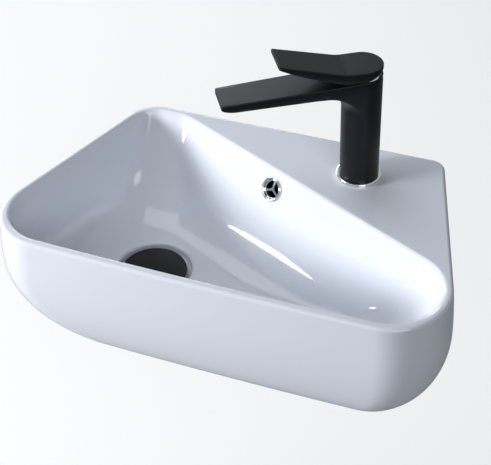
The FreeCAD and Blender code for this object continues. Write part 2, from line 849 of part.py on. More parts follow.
def spout_side_view():
    """Outline of the spout from the side, with the web under its root."""
    slope = (spout_root_top - spout_tip_top) / spout_reach
    low_tip = spout_tip_top - spout_tip_thickness
    turn = spout_reach - spout_tip_rise_length
    web_start = column_radius + spout_web_radius
    root = vec(0, 0, spout_root_top)
    tip = vec(spout_reach, 0, spout_tip_top)
    tip_low = vec(spout_reach - 1.5, 0, low_tip)
    under_tip = vec(turn, 0, spout_under)
    under_root = vec(web_start, 0, spout_under)
    web_low = vec(column_radius, 0, spout_under - spout_web_radius)
    diagonal = spout_web_radius * (1.0 - math.sqrt(0.5))
    web_mid = vec(column_radius + diagonal, 0, spout_under - diagonal)
    foot = vec(0, 0, spout_under - spout_web_radius)
    rise = (spout_under - low_tip) * -0.22
    under_mid = vec((turn + spout_reach) / 2.0, 0, spout_under + rise)
    top_mid = vec(spout_reach / 2.0, 0, (root.z + tip.z) / 2.0 - slope)
    return [Part.Arc(root, top_mid, tip), Part.LineSegment(tip, tip_low),
            Part.Arc(tip_low, under_mid, under_tip), Part.LineSegment(under_tip, under_root),
            Part.Arc(under_root, web_mid, web_low), Part.LineSegment(web_low, foot),
            Part.LineSegment(foot, root)]


def aerator_place():
    return spout_reach - aerator_from_tip


def tap_body():
    """Column and spout in one, bored for the cartridge, the waterways and the aerator."""
    column = cylinder(column_radius, column_top - base_ring_height, vec(0, 0, base_ring_height))
    boss = cylinder(tap_hole_radius - boss_clearance, boss_drop + base_ring_height + 1.0,
                    vec(0, 0, -boss_drop))
    blade = blade_outline(spout_reach, spout_tip_width, column_top, 0.0)
    spout = blade.common(side_prism(spout_side_view(), column_radius + 1.0))
    body = column.fuse([boss, spout]).removeSplitter()
    seat_bore = cylinder(cartridge_radius + 0.1, column_top, vec(0, 0, cartridge_seat))
    nut_bore = cylinder(retaining_nut_radius + 0.05, column_top, vec(0, 0, housing_shoulder))
    ring_way = cylinder(cartridge_radius + 2.0, 9.0, vec(0, 0, cartridge_seat + 6.0))
    body = body.cut(seat_bore.fuse([nut_bore, ring_way]))
    middle = spout_under + 4.1
    start = vec(cartridge_radius, 0, cartridge_seat + 12.5)
    end = vec(column_radius + 17.0, 0, middle)
    rise = end - start
    body = body.cut(cylinder(waterway_radius, rise.Length, start, rise))
    body = body.cut(cylinder(waterway_radius, aerator_place() - end.x + waterway_radius,
                             end - vec(waterway_radius, 0, 0), vec(1, 0, 0)))
    pocket = vec(aerator_place(), 0, spout_under - 5.0)
    body = body.cut(cylinder(aerator_radius + 0.05, aerator_height + 5.8, pocket))
    for place in inlet_places():
        base = vec(place.x, place.y, -boss_drop - 1.0)
        body = body.cut(cylinder(inlet_radius, inlet_depth + 1.0, base))
        way = vec(place.x * 0.6, place.y * 0.6, inlet_depth - boss_drop - 1.0)
        length = cartridge_seat - way.z + 0.5
        body = body.cut(cylinder(2.6, length, way))
    body = body.cut(cylinder(stud_radius, inlet_depth + 1.0,
                             vec(stud_offset, 0, -boss_drop - 1.0)))
    return turn_to_tap(body)


def inlet_places():
    """Centres of the two hose sockets, behind the stud."""
    places = []
    for turn in (120.0, 240.0):
        angle = math.radians(turn)
        places.append(vec(stud_offset * math.cos(angle), stud_offset * math.sin(angle)))
    return places


def base_ring():
    """Bright ring that the column stands on."""
    bore = tap_hole_radius
    lip = base_ring_radius - 1.3
    ring = revolve_profile([(lip, 0), (base_ring_radius, 0),
                            (base_ring_radius, base_ring_height - 0.9),
                            (base_ring_radius - 0.9, base_ring_height),
                            (bore, base_ring_height), (bore, base_gasket_thickness),
                            (lip, base_gasket_thickness)], tap_point(0))
    return ring


def base_gasket():
    return tube(base_ring_radius - 1.5, tap_hole_radius + 0.2, base_gasket_thickness,
                tap_point(0))


def aerator_housing():
    """Threaded ring in the spout's pocket."""
    base = tap_point(aerator_place(), 0, spout_under + 0.3)
    return tube(aerator_radius, aerator_radius - 1.6, aerator_height - 0.5, base)


def aerator_insert():
    """Disc of water jets, its holes in two rings."""
    base = tap_point(aerator_place(), 0, spout_under + 0.8)
    disc = cylinder(aerator_radius - 1.65, 3.0, base)
    holes = []
    for count, radius in ((6, 3.0), (10, 5.9)):
        for i in range(count):
            angle = 2.0 * math.pi * i / count
            offset = vec(radius * math.cos(angle), radius * math.sin(angle), -0.5)
            holes.append(cylinder(0.7, 4.0, base + offset))
    return disc.cut(holes[0].multiFuse(holes[1:]))


def aerator_washer():
    base = tap_point(aerator_place(), 0, spout_under + aerator_height - 0.2)
    return tube(aerator_radius - 0.2, aerator_radius - 2.4, 0.9, base)


# ---------------------------------------------------------------- cartridge

def cartridge_base():
    """Foot with two inlet ports and one outlet."""
    disc = cylinder(cartridge_radius, cartridge_base_height, vec(0, 0, cartridge_seat))
    for place in port_places():
        disc = disc.cut(cylinder(2.2, cartridge_base_height, place))
        disc = disc.cut(cylinder(3.2, 1.0, place))
    return turn_to_tap(disc)


def port_places():
    places = []
    for turn in (120.0, 240.0, 0.0):
        angle = math.radians(turn)
        reach = stud_offset * 0.6
        places.append(vec(reach * math.cos(angle), reach * math.sin(angle), cartridge_seat))
    return places


def port_seals():
    """Three rubber rings between the cartridge's foot and its seat."""
    rings = [tube(3.15, 2.25, 0.95, place) for place in port_places()]
    return turn_to_tap(Part.makeCompound(rings))


def fixed_disc():
    z = cartridge_seat + cartridge_base_height
    disc = cylinder(fixed_disc_radius, disc_height, vec(0, 0, z))
    for place in port_places():
        disc = disc.cut(cylinder(1.9, disc_height, vec(place.x, place.y, z)))
    return turn_to_tap(disc)


def moving_disc_base():
    return cartridge_seat + cartridge_base_height + disc_height


def disc_travel():
    """How far the disc slides when the lever goes from shut to full flow."""
    return (pivot_height - ball_height) * math.radians(lever_lift_angle)


def moving_disc():
    """Upper ceramic disc, with a blind pocket that joins the ports below."""
    base = vec(-disc_travel() / 2.0, 0, moving_disc_base())
    disc = cylinder(moving_disc_radius, disc_height, base)
    pocket = cylinder(4.2, disc_height * 0.5, base)
    return turn_to_tap(disc.cut(pocket))


def disc_carrier():
    """Slider on the upper disc, with the socket for the stem's ball."""
    z = moving_disc_base() + disc_height
    disc = cylinder(moving_disc_radius, carrier_height, vec(-disc_travel() / 2.0, 0, z))
    socket = cylinder(ball_radius + free_gap, carrier_height, vec(0, 0, z + 0.6))
    return turn_to_tap(disc.cut(socket))


def cartridge_housing():
    """Case round the discs, with a neck that guides the rotor."""
    z = cartridge_seat + cartridge_base_height
    inner = cartridge_radius - housing_wall
    neck_top = retaining_nut_top - 3.0
    shelf_z = housing_shoulder - housing_wall
    case = cylinder(cartridge_radius, housing_shoulder - z, vec(0, 0, z))
    neck = cylinder(neck_radius, neck_top - z, vec(0, 0, z))
    room = cylinder(inner, shelf_z - z, vec(0, 0, z))
    way = cylinder(rotor_radius + running_gap, neck_top, vec(0, 0, z))
    return turn_to_tap(case.fuse(neck).removeSplitter().cut(room).cut(way))


def rotor():
    """Turning core of the cartridge, slotted for the stem."""
    bottom = moving_disc_base() + disc_height + carrier_height + free_gap
    core = cylinder(rotor_radius, rotor_top - bottom, vec(0, 0, bottom))
    slot = Part.makeBox(2.0 * rotor_radius - 3.0, stem_side * 0.5 + 0.6, rotor_top,
                        vec(-rotor_radius + 1.5, -stem_side * 0.25 - 0.3, bottom - 1.0))
    hole = cylinder(pin_radius, 2.0 * rotor_radius + 2.0,
                    vec(0, -rotor_radius - 1.0, pivot_height), vec(0, 1, 0))
    return turn_to_tap(core.cut(slot).cut(hole))


def pivot_pin():
    length = 2.0 * rotor_radius - 1.0
    pin = cylinder(pin_radius, length, vec(0, -length / 2.0, pivot_height), vec(0, 1, 0))
    return turn_to_tap(pin)


def stem():
    """Rocking arm: square head in the lever, flat neck on the pin, ball in the slider."""
    head = Part.makeBox(stem_side, stem_side, lever_roof - 0.1 - rotor_top - stem_lift,
                        vec(-stem_side / 2.0, -stem_side / 2.0, rotor_top + stem_lift))
    blade = Part.makeBox(stem_side - 1.0, stem_side * 0.5, rotor_top + 1.0 - ball_height - 6.0,
                         vec(-stem_side / 2.0 + 0.5, -stem_side * 0.25, ball_height + 6.0))
    arm = cylinder(1.3, 7.0, vec(0, 0, ball_height))
    ball = Part.makeSphere(ball_radius, vec(0, 0, ball_height))
    shape = head.fuse([blade, arm, ball]).removeSplitter()
    eye = cylinder(pin_radius + running_gap, stem_side, vec(0, -stem_side / 2.0, pivot_height),
                   vec(0, 1, 0))
    return turn_to_tap(shape.cut(eye))


def retaining_nut():
    """Ring nut that holds the cartridge down."""
    height = retaining_nut_top - housing_shoulder
    ring = tube(retaining_nut_radius, neck_radius + 0.1, height, vec(0, 0, housing_shoulder))
    return turn_to_tap(ring)


def cover_dome():
    """Bright ring on the column's top, round as a ball about the lever's pivot."""
    ball = Part.makeSphere(dome_radius, vec(0, 0, pivot_height))
    band = tube(column_radius, dome_bore_radius, dome_top - column_top, vec(0, 0, column_top))
    return turn_to_tap(ball.common(band))


# ---------------------------------------------------------------- lever

def lever_side_view():
    """Outline of the lever from the side: flat cap, bevelled heel, raised paddle."""
    low = column_top + lever_gap
    heel = vec(-column_radius - 1.0, 0,
               low + (column_radius + 1.0) * math.tan(math.radians(lever_heel_bevel)))
    bottom = vec(0, 0, low)
    chin = vec(column_radius - 1.0, 0, low)
    tip_low = vec(lever_reach - 1.0, 0, lever_tip_top - lever_tip_thickness)
    tip = vec(lever_reach, 0, lever_tip_top)
    crease = vec(lever_crease, 0, lever_cap_top)
    back = vec(-column_radius - 1.0, 0, lever_cap_top - 1.0)
    under_mid = vec((chin.x + tip_low.x) / 2.0, 0, (chin.z + tip_low.z) / 2.0 - 2.2)
    return [Part.LineSegment(heel, bottom), Part.LineSegment(bottom, chin),
            Part.Arc(chin, under_mid, tip_low), Part.LineSegment(tip_low, tip),
            Part.LineSegment(tip, crease), Part.LineSegment(crease, back),
            Part.LineSegment(back, heel)]


def lever():
    """Paddle lever, hollow over the dome, with a socket for the stem."""
    blade = blade_outline(lever_reach, lever_tip_width, lever_tip_top, 1.0)
    shape = blade.common(side_prism(lever_side_view(), column_radius + 1.0))
    ball = Part.makeSphere(hollow_radius, vec(0, 0, pivot_height))
    below_roof = cylinder(column_radius + 4.0, lever_roof - column_top + 3.0,
                          vec(0, 0, column_top - 3.0))
    room = ball.common(below_roof)
    boss = cylinder(socket_boss_radius, lever_roof - socket_boss_bottom,
                    vec(0, 0, socket_boss_bottom))
    rib = Part.makeBox(dome_bore_radius + 3.0, 8.0, lever_roof - dome_top - 0.5,
                       vec(0, -4.0, dome_top + 0.5))
    room = room.cut(boss.fuse(rib))
    shape = shape.cut(room)
    socket = Part.makeBox(stem_side + 0.1, stem_side + 0.1, lever_roof - socket_boss_bottom,
                          vec(-stem_side / 2.0 - 0.05, -stem_side / 2.0 - 0.05,
                              socket_boss_bottom))
    shape = shape.cut(socket)
    screw_way = cylinder(grub_radius, lever_reach / 2.0, vec(stem_side / 2.0, 0, grub_height()),
                         vec(1, 0, 0))
    plug_way = cylinder(plug_radius, lever_reach / 2.0, vec(plug_start(), 0, grub_height()),
                        vec(1, 0, 0))
    shape = shape.cut(screw_way.fuse(plug_way))
    return turn_to_tap(shape)


def grub_height():
    return lever_roof - grub_radius - 0.2


def plug_start():
    return column_radius + 6.0


def grub_screw():
    """Set screw that holds the lever on the stem."""
    start = stem_side / 2.0 + 0.06
    screw = cylinder(grub_radius, grub_length, vec(start, 0, grub_height()), vec(1, 0, 0))
    key = cylinder(1.0, 3.0, vec(start + grub_length - 2.5, 0, grub_height()), vec(1, 0, 0))
    return turn_to_tap(screw.cut(key))


def screw_plug():
    """Plain cap in the mouth of the set screw's hole."""
    plug = cylinder(plug_radius, plug_length, vec(plug_start(), 0, grub_height()), vec(1, 0, 0))
    return turn_to_tap(plug)


# ---------------------------------------------------------------- tap fixing

def fixing_stud():
    top = inlet_depth - boss_drop - 1.0
    stud = cylinder(stud_radius, stud_length, vec(stud_offset, 0, top - stud_length))
    return turn_to_tap(stud)


def horseshoe(thickness, z):
    """Plate open at the back for the hoses, with a hole for the stud."""
    plate = cylinder(horseshoe_radius, thickness, vec(0, 0, z))
    slot = Part.makeBox(horseshoe_radius * 2.0, horseshoe_slot, thickness,
                        vec(-horseshoe_radius * 2.0 + 2.0, -horseshoe_slot / 2.0, z))
    hole = cylinder(stud_radius + free_gap, thickness, vec(stud_offset, 0, z))
    return turn_to_tap(plate.cut(slot).cut(hole))


def horseshoe_gasket():
    return horseshoe(horseshoe_gasket_thickness, -shelf_thickness - horseshoe_gasket_thickness)


def horseshoe_plate():
    z = -shelf_thickness - horseshoe_gasket_thickness - horseshoe_plate_thickness
    return horseshoe(horseshoe_plate_thickness, z)


def stud_nut():
    z = (-shelf_thickness - horseshoe_gasket_thickness - horseshoe_plate_thickness
         - stud_nut_height)
    nut = hexagon(stud_nut_across, stud_nut_height, vec(stud_offset, 0, z))
    bore = cylinder(stud_radius + 0.05, stud_nut_height, vec(stud_offset, 0, z))
    return turn_to_tap(nut.cut(bore))


NODES = {
    "basin_body": basin_body,
    "overflow_ring": overflow_ring,
    "overflow_spider": overflow_spider,
    "waste_top_gasket": waste_top_gasket,
    "waste_body": waste_body,
    "waste_cap": waste_cap,
    "cap_seal": cap_seal,
    "click_plunger": click_plunger,
    "click_sleeve": click_sleeve,
    "click_spring": click_spring,
    "taper_gasket": taper_gasket,
    "slip_washer": slip_washer,
    "back_nut": back_nut,
    "tap_body": tap_body,
    "base_ring": base_ring,
    "base_gasket": base_gasket,
    "aerator_housing": aerator_housing,
    "aerator_insert": aerator_insert,
    "aerator_washer": aerator_washer,
    "cartridge_base": cartridge_base,
    "port_seals": port_seals,
    "fixed_disc": fixed_disc,
    "moving_disc": moving_disc,
    "disc_carrier": disc_carrier,
    "cartridge_housing": cartridge_housing,
    "rotor": rotor,
    "pivot_pin": pivot_pin,
    "stem": stem,
    "retaining_nut": retaining_nut,
    "cover_dome": cover_dome,
    "lever": lever,
    "grub_screw": grub_screw,
    "screw_plug": screw_plug,
    "fixing_stud": fixing_stud,
    "horseshoe_gasket": horseshoe_gasket,
    "horseshoe_plate": horseshoe_plate,
    "stud_nut": stud_nut,
}

os.makedirs(PARTS_FOLDER, exist_ok=True)
for node_name, make_shape in NODES.items():
    node_shape = make_shape()
    node_shape.exportStep(os.path.join(PARTS_FOLDER, node_name + ".step"))
    print(node_name, "solids", len(node_shape.Solids), "valid", node_shape.isValid(),
          "volume", round(node_shape.Volume, 1))
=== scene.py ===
import json
import math

import bpy
import numpy as np
from mathutils import Matrix, Vector


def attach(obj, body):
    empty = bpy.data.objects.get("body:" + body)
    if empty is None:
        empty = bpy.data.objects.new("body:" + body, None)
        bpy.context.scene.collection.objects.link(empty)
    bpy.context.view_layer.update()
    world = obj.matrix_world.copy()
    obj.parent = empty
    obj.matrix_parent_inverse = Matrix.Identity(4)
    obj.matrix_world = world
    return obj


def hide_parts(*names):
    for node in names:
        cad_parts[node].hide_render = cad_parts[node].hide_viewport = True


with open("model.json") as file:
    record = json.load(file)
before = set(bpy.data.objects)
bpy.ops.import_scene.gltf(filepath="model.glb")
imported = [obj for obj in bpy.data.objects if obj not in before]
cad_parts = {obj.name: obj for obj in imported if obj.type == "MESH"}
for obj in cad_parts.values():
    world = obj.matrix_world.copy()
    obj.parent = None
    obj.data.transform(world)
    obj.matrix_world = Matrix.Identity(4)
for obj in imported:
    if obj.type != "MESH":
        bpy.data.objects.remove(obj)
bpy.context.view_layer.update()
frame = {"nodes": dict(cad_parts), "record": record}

# A small wall-hung basin with a slanting bowl and a tap shelf, its mixer tap, the overflow's
# ring and the waste's cover.  Sizes are millimetres and become metres when a mesh is made.
# The origin is on the wall, midway between the two fixing holes.  +X runs along the wall to
# the right, -Y stands out from the wall, +Z is up.  Heights of the tap are over the shelf.
MM = 0.001

# ---- skirt: outline with its corners taken as sharp, and what it does with depth.
# Tucks and swells are those of the left, front and right side.  Corner radii are those of the
# back left, front left, front right and back right corner, with their growth over the tuck.
RIM = 65.0
HEIGHT = 130.0
BACK_W, FRONT_LEFT, FRONT_RIGHT, DEPTH, BOW = 327.0, 244.5, 237.0, 246.0, 4.5
CHORD = (FRONT_LEFT + FRONT_RIGHT) / 2
BOW_R = (CHORD ** 2 + BOW ** 2) / (2 * BOW)
BOW_C = np.array([(FRONT_RIGHT - FRONT_LEFT) / 2, -DEPTH - BOW + BOW_R])
CORNERS = [np.array(p) for p in ((BACK_W / 2, 0.0), (-BACK_W / 2, 0.0),
                                 (-FRONT_LEFT, -DEPTH), (FRONT_RIGHT, -DEPTH))]
STRAIGHT = 48.0
TUCK = (67.0, 24.0, 53.0)
SWELL = (2.4, 1.6, 2.4)
SKIRT_R = (33.0, 54.0, 56.0, 15.0)
SKIRT_R_GROWTH = (0.0, 15.0, -26.0, 0.0)
INSET_SHARE = 0.6
RIM_ROUND = 3.0
UPRIGHT_DROPS = (40.0, 32.0, 24.0, 16.0, 8.0, 3.4)

# ---- shelf: a point of its edge, the edge's direction and the way from it into the bowl
SHELF_A = math.radians(-25.31)
SHELF_DIR = np.array([math.cos(SHELF_A), math.sin(SHELF_A)])
SHELF_IN = np.array([math.sin(SHELF_A), -math.cos(SHELF_A)])
SHELF_POINT = np.array([-114.5, -7.5])

# ---- bowl: a lean is a wall's run inwards per millimetre of depth, a fold width its further
# run round the toe.  Corner radii are those of the back right, back left, front left and front
# right corner, with the share that each loses by the floor.
RIM_W, FRONT_RIM = 7.5, 9.4
BOWL_D = 95.0
FOLD_H = 40.0
LEAN = {"plain": 0.16, "shelf": 0.49, "back": 0.60}
FOLD_W = {"plain": 38.0, "shelf": 27.0, "back": 31.0}
BOWL_R = (55.0, 30.0, 47.0, 47.5)
BOWL_R_LOSS = (0.45, 0.2, 0.2, 0.35)
CREST, CREST_PULL = 2.7, 0.76

# ---- waste: its place, the recess round it and the hole
WASTE = np.array([-95.8, -146.2])
RECESS_D, RECESS_R = 9.0, 39.0
LIP_ACROSS, LIP_DOWN, RECESS_FOOT = 3.5, 3.0, 1.5
WASTE_HOLE_R = 23.0

# ---- hollow between the skins, the duct from the overflow and the opening underneath
SKIN, BOWL_SKIN, SHELF_T = 9.0, 7.5, 12.0
DUCT_W, DUCT_GAP, DUCT_SKIN = 30.0, 12.0, 8.0
DUCT_HALF = DUCT_W / 2 + DUCT_SKIN
DUCT_BACK = DUCT_GAP + 2 * DUCT_SKIN
DUCT_LAP, DUCT_TOP = 4.0, 6.0
DUCT_FOOT, DUCT_FLOOR = 117.0, (-73.0, -31.0)
WASTE_BOSS_R, WASTE_BOSS_LOW = 31.0, -80.0
RECESS_WALL = 5.0
CUT_PAST = 5.0
OPENING_MARGIN, OPENING_REACH = 3.0, 20.0

# ---- holes
OVER_ALONG, OVER_DROP = 140.0, 18.5
OVER_HOLE_R, OVER_HOLE_D = 11.2, 22.0
BOLT_X, BOLT_HOLE_R = 70.0, 6.5
TAP = np.array([89.4, -46.9])
TAP_HOLE_R = 17.5

# ---- how many points each run of an outline has.  A ring of the skirt has as many as one of
# the bowl: along the shelf wall, the skirt spends N_SHELF on its right side, its back right
# corner and its back.
N_SHELF = (30, 26, 74)
N_BACK, N_LEFT, N_FRONT, N_TURN = 12, 52, 116, 30
N_ARC, N_PAST = 34, 16
# Along the skirt's back, the points that face the shelf wall and the bowl's corner end this
# far from its left end.  The bowl's front right corner turns further than the skirt's, so its
# last points look at this share of the skirt's right side, by this angle.
BACK_MARKS = (44.0, 14.0)
PAST_SHARE, PAST_TURN = 0.32, math.radians(48.1)


# ------------------------------------------------------------------ outlines

def normal_in(d):
    """Direction turned a quarter left: inwards from a counterclockwise outline."""
    return np.array([-d[1], d[0]])


def side(a, b, inset):
    """Straight side of a counterclockwise outline, moved inwards."""
    d = (b - a) / np.linalg.norm(b - a)
    return ("line", a + normal_in(d) * inset, d)


def corner(first, second, r):
    """Centre, start and end of a round corner between two sides.  The centre is r inside both:
    where two moved lines cross, or where a moved line cuts a circle r smaller than the bow."""
    if first[0] == "line" and second[0] == "line":
        pa = first[1] + normal_in(first[2]) * r
        pb = second[1] + normal_in(second[2]) * r
        cross = first[2][0] * second[2][1] - first[2][1] * second[2][0]
        gap = pb - pa
        c = pa + first[2] * ((gap[0] * second[2][1] - gap[1] * second[2][0]) / cross)
        return c, c - normal_in(first[2]) * r, c - normal_in(second[2]) * r
    straight, bowed = (first, second) if first[0] == "line" else (second, first)
    p = straight[1] + normal_in(straight[2]) * r
    reach = bowed[2] - r
    o = p - bowed[1]
    half = o @ straight[2]
    root = math.sqrt(half ** 2 - o @ o + reach ** 2)
    c = p + straight[2] * (-half + root if first[0] == "line" else -half - root)
    on_line = c - normal_in(straight[2]) * r
    on_bow = bowed[1] + (c - bowed[1]) * (bowed[2] / reach)
    return (c, on_line, on_bow) if first[0] == "line" else (c, on_bow, on_line)


def arc_points(c, start, end, n):
    """n points along the short arc from start, at even angles, without its end."""
    a0 = math.atan2(*(start - c)[::-1])
    turn = (math.atan2(*(end - c)[::-1]) - a0 + math.pi) % (2 * math.pi) - math.pi
    a = a0 + turn * np.arange(n) / n
    return c + np.linalg.norm(start - c) * np.stack([np.cos(a), np.sin(a)], 1)


def segments(sides, radii, counts_side, counts_corner):
    """List of point runs: side 0, corner 0, side 1, corner 1 and so on."""
    k = len(sides)
    cs = [corner(sides[i], sides[(i + 1) % k], radii[i]) for i in range(k)]
    runs = []
    for i in range(k):
        a, b = cs[i - 1][2], cs[i][1]
        t = (np.arange(counts_side[i]) / counts_side[i])[:, None]
        if sides[i][0] == "line":
            runs.append(a + (b - a) * t)
        else:
            runs.append(arc_points(sides[i][1], a, b, counts_side[i]))
        runs.append(arc_points(cs[i][0], cs[i][1], cs[i][2], counts_corner[i]))
    return runs


def outer_ring(drop, inset=0.0):
    """Skirt outline at a depth below the rim.  Down to STRAIGHT it swells with the sine of the
    depth; below, it tucks in by 1 - sqrt(1 - share squared), which is a quarter ellipse."""
    share = max(0.0, (drop - STRAIGHT) / (HEIGHT - STRAIGHT))
    tuck = 1 - math.sqrt(max(0.0, 1 - share * share))
    bulge = math.sin(math.pi / 2 * min(1.0, drop / STRAIGHT))
    left, front, right = [t * tuck - w * bulge + inset for t, w in zip(TUCK, SWELL)]
    sides = [side(CORNERS[0], CORNERS[1], inset), side(CORNERS[1], CORNERS[2], left),
             ("arc", BOW_C, BOW_R - front), side(CORNERS[3], CORNERS[0], right)]
    radii = [r + growth * tuck - inset * INSET_SHARE for r, growth in zip(SKIRT_R, SKIRT_R_GROWTH)]
    back_n = N_SHELF[2] + N_TURN + N_BACK
    runs = segments(sides, radii, [back_n, N_LEFT, N_FRONT, 2],
                    [N_TURN, N_TURN, N_ARC, N_SHELF[1]])
    back, back_left, left_run, front_left, front_run, front_right, right_run, back_right = runs
    start, end = back[0, 0], 2 * back[-1, 0] - back[-2, 0]
    knots = np.array([0, N_SHELF[2], N_SHELF[2] + N_TURN, back_n])
    marks = np.array([start, end + BACK_MARKS[0], end + BACK_MARKS[1], end])
    back = np.stack([np.interp(np.arange(back_n), knots, marks), back[:, 1]], 1)
    past = PAST_SHARE * np.tan(PAST_TURN * np.arange(N_PAST + 1) / N_PAST)
    rest = np.linspace(past[-1], 1, N_SHELF[0] + 1)[:-1]
    steps = np.concatenate([past[:-1], rest])[:, None]
    right_run = right_run[0] + (back_right[0] - right_run[0]) * steps
    return np.concatenate([right_run[N_PAST:], back_right, back, back_left, left_run, front_left,
                           front_run, front_right, right_run[:N_PAST]])


def bowl_insets(drop, fold):
    """Insets of plain, shelf and back walls: lean times depth, plus the fold's width times
    fold, which runs 0 to 1 round the toe."""
    return [LEAN[k] * drop + FOLD_W[k] * fold for k in ("plain", "shelf", "back")]


def bowl_ring(drop, fold=0.0, grow=0.0):
    """Bowl outline at a depth: each side moved in by its inset less grow, each corner's radius
    shrinking evenly with depth."""
    plain, shelf, back = bowl_insets(drop, fold)
    plain += RIM_W - grow
    share = drop / BOWL_D
    sides = [("line", SHELF_POINT + SHELF_IN * (shelf - grow), -SHELF_DIR),
             side(CORNERS[0], CORNERS[1], back + RIM_W - grow),
             side(CORNERS[1], CORNERS[2], plain),
             ("arc", BOW_C, BOW_R - plain - (FRONT_RIM - RIM_W))]
    radii = [r * (1 - loss * share) + grow for r, loss in zip(BOWL_R, BOWL_R_LOSS)]
    return np.concatenate(segments(sides, radii, [sum(N_SHELF), N_BACK, N_LEFT, N_FRONT],
                                   [N_TURN, N_TURN, N_TURN, N_ARC + N_PAST]))


def at(ring, z):
    """Ring of plan points lifted to a height, one value or one per point."""
    return np.column_stack([ring, np.broadcast_to(z, len(ring))])


# ------------------------------------------------------------------ meshes

def make_mesh(name, verts, faces, material, smooth=True, sharp=35.0):
    """Mesh object from points in millimetres; shading breaks at edges sharper than the angle."""
    mesh = bpy.data.meshes.new(name)
    mesh.from_pydata((np.asarray(verts) * MM).tolist(), [], faces)
    mesh.update()
    mesh.polygons.foreach_set("use_smooth", [smooth] * len(mesh.polygons))
    if smooth:
        mesh.set_sharp_from_angle(angle=math.radians(sharp))
    if material:
        mesh.materials.append(material)
    obj = bpy.data.objects.new(name, mesh)
    bpy.context.scene.collection.objects.link(obj)
    return obj


def grid(name, rings, material, flip=False, loop=False, sharp=35.0):
    """Closed surface through rings of equal length, top or inside first: point i of each
    ring joins point i of the next.  Points that meet are merged, so poles are closed."""
    p = np.asarray(rings, float)
    rows, cols, _ = p.shape
    flat = p.reshape(-1, 3)
    _, index, merged = np.unique(np.round(flat, 4), axis=0, return_index=True,
                                 return_inverse=True)
    j, i = np.meshgrid(np.arange(rows if loop else rows - 1), np.arange(cols), indexing="ij")
    j, i = j.ravel(), i.ravel()
    below, beside = (j + 1) % rows, (i + 1) % cols
    quads = np.stack([j * cols + i, below * cols + i, below * cols + beside, j * cols + beside], 1)
    if flip:
        quads = quads[:, ::-1]
    quads = merged.reshape(-1)[quads]
    # A corner that repeats the one before it is dropped, and so is a face with too few left.
    own = quads != np.roll(quads, 1, axis=1)
    size = own.sum(1)
    real = (size > 2) & (quads[:, 0] != quads[:, 2]) & (quads[:, 1] != quads[:, 3])
    faces = np.split(quads[real][own[real]], np.cumsum(size[real])[:-1])
    return make_mesh(name, flat[index], faces, material, sharp=sharp)


def lathe(name, profile, material, centre=(0, 0), n=128, sharp=35.0):
    """Profile of (radius, z) points turned about a vertical axis: x and y are the radius times
    the cosine and sine of n even angles.  A profile clear of the axis is closed on itself."""
    a = 2 * np.pi * np.arange(n) / n
    prof = np.asarray(profile, float)
    rings = [np.column_stack([centre[0] + r * np.cos(a), centre[1] + r * np.sin(a),
                              np.full(n, z)]) for r, z in prof]
    closed = prof[0][0] > 0 and prof[-1][0] > 0
    return grid(name, rings, material, loop=closed, sharp=sharp)


def rod(name, r, low, high, centre=(0, 0), n=128, material=None):
    """Upright round cutter from one height to another."""
    return lathe(name, [(0, high), (r, high), (r, low), (0, low)], material, centre, n)


def block(name, under, low, over, high):
    """Solid between two counterclockwise plan polygons with as many corners."""
    i = np.arange(len(under))
    after, up = np.roll(i, -1), len(under)
    verts = np.vstack([at(np.asarray(under), low), at(np.asarray(over), high)])
    faces = [i[::-1], up + i, *np.stack([i, after, up + after, up + i], 1)]
    return make_mesh(name, verts, faces, None, smooth=False)


def carve(obj, cutter, sharp=35.0):
    """Cuts the cutter out of a piece and throws it away; both meshes are closed."""
    mod = obj.modifiers.new("carve", "BOOLEAN")
    mod.operation = "DIFFERENCE"
    mod.solver = "MANIFOLD"
    # A cutter's own material goes onto the faces that it cuts; this is how the tunnel's painted
    # shade reaches the basin.
    mod.material_mode = "TRANSFER"
    mod.object = cutter
    deps = bpy.context.evaluated_depsgraph_get()
    mesh = bpy.data.meshes.new_from_object(obj.evaluated_get(deps))
    obj.modifiers.clear()
    old = obj.data
    obj.data = mesh
    bpy.data.meshes.remove(old)
    bpy.data.objects.remove(cutter)
    obj.data.set_sharp_from_angle(angle=math.radians(sharp))
    return obj


def place(obj, matrix):
    """Moves the mesh itself, so that the object stays at the origin."""
    obj.data.transform(matrix)
    obj.data.update()
    return obj


def finish_piece(obj, body, slot, *nodes):
    """Lets a finished piece ride its body and stand for the CAD nodes that it replaces."""
    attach(obj, body)
    if nodes:
        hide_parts(*nodes)
    return obj


# ------------------------------------------------------------------ finishes

def principled(name, color, rough, metal=0.0, **extra):
    """Plain material; an extra socket's name is written with underscores for its spaces."""
    m = bpy.data.materials.new(name)
    m.use_nodes = True
    b = m.node_tree.nodes["Principled BSDF"]
    b.inputs["Base Color"].default_value = (*color, 1)
    b.inputs["Roughness"].default_value = rough
    b.inputs["Metallic"].default_value = metal
    for key, value in extra.items():
        b.inputs[key.replace("_", " ")].default_value = value
    return m


def grain_group(name, scale, detail):
    """Fine height noise in object coordinates, as a bump normal."""
    g = bpy.data.node_groups.new(name, "ShaderNodeTree")
    g.interface.new_socket("Strength", in_out="INPUT", socket_type="NodeSocketFloat")
    g.interface.new_socket("Distance", in_out="INPUT", socket_type="NodeSocketFloat")
    g.interface.new_socket("Normal", in_out="OUTPUT", socket_type="NodeSocketVector")
    inp, out = g.nodes.new("NodeGroupInput"), g.nodes.new("NodeGroupOutput")
    place_on = g.nodes.new("ShaderNodeTexCoord")
    noise = g.nodes.new("ShaderNodeTexNoise")
    noise.inputs["Scale"].default_value = scale
    noise.inputs["Detail"].default_value = detail
    bump = g.nodes.new("ShaderNodeBump")
    g.links.new(place_on.outputs["Object"], noise.inputs["Vector"])
    g.links.new(noise.outputs["Fac"], bump.inputs["Height"])
    g.links.new(inp.outputs["Strength"], bump.inputs["Strength"])
    g.links.new(inp.outputs["Distance"], bump.inputs["Distance"])
    g.links.new(bump.outputs["Normal"], out.inputs["Normal"])
    return g


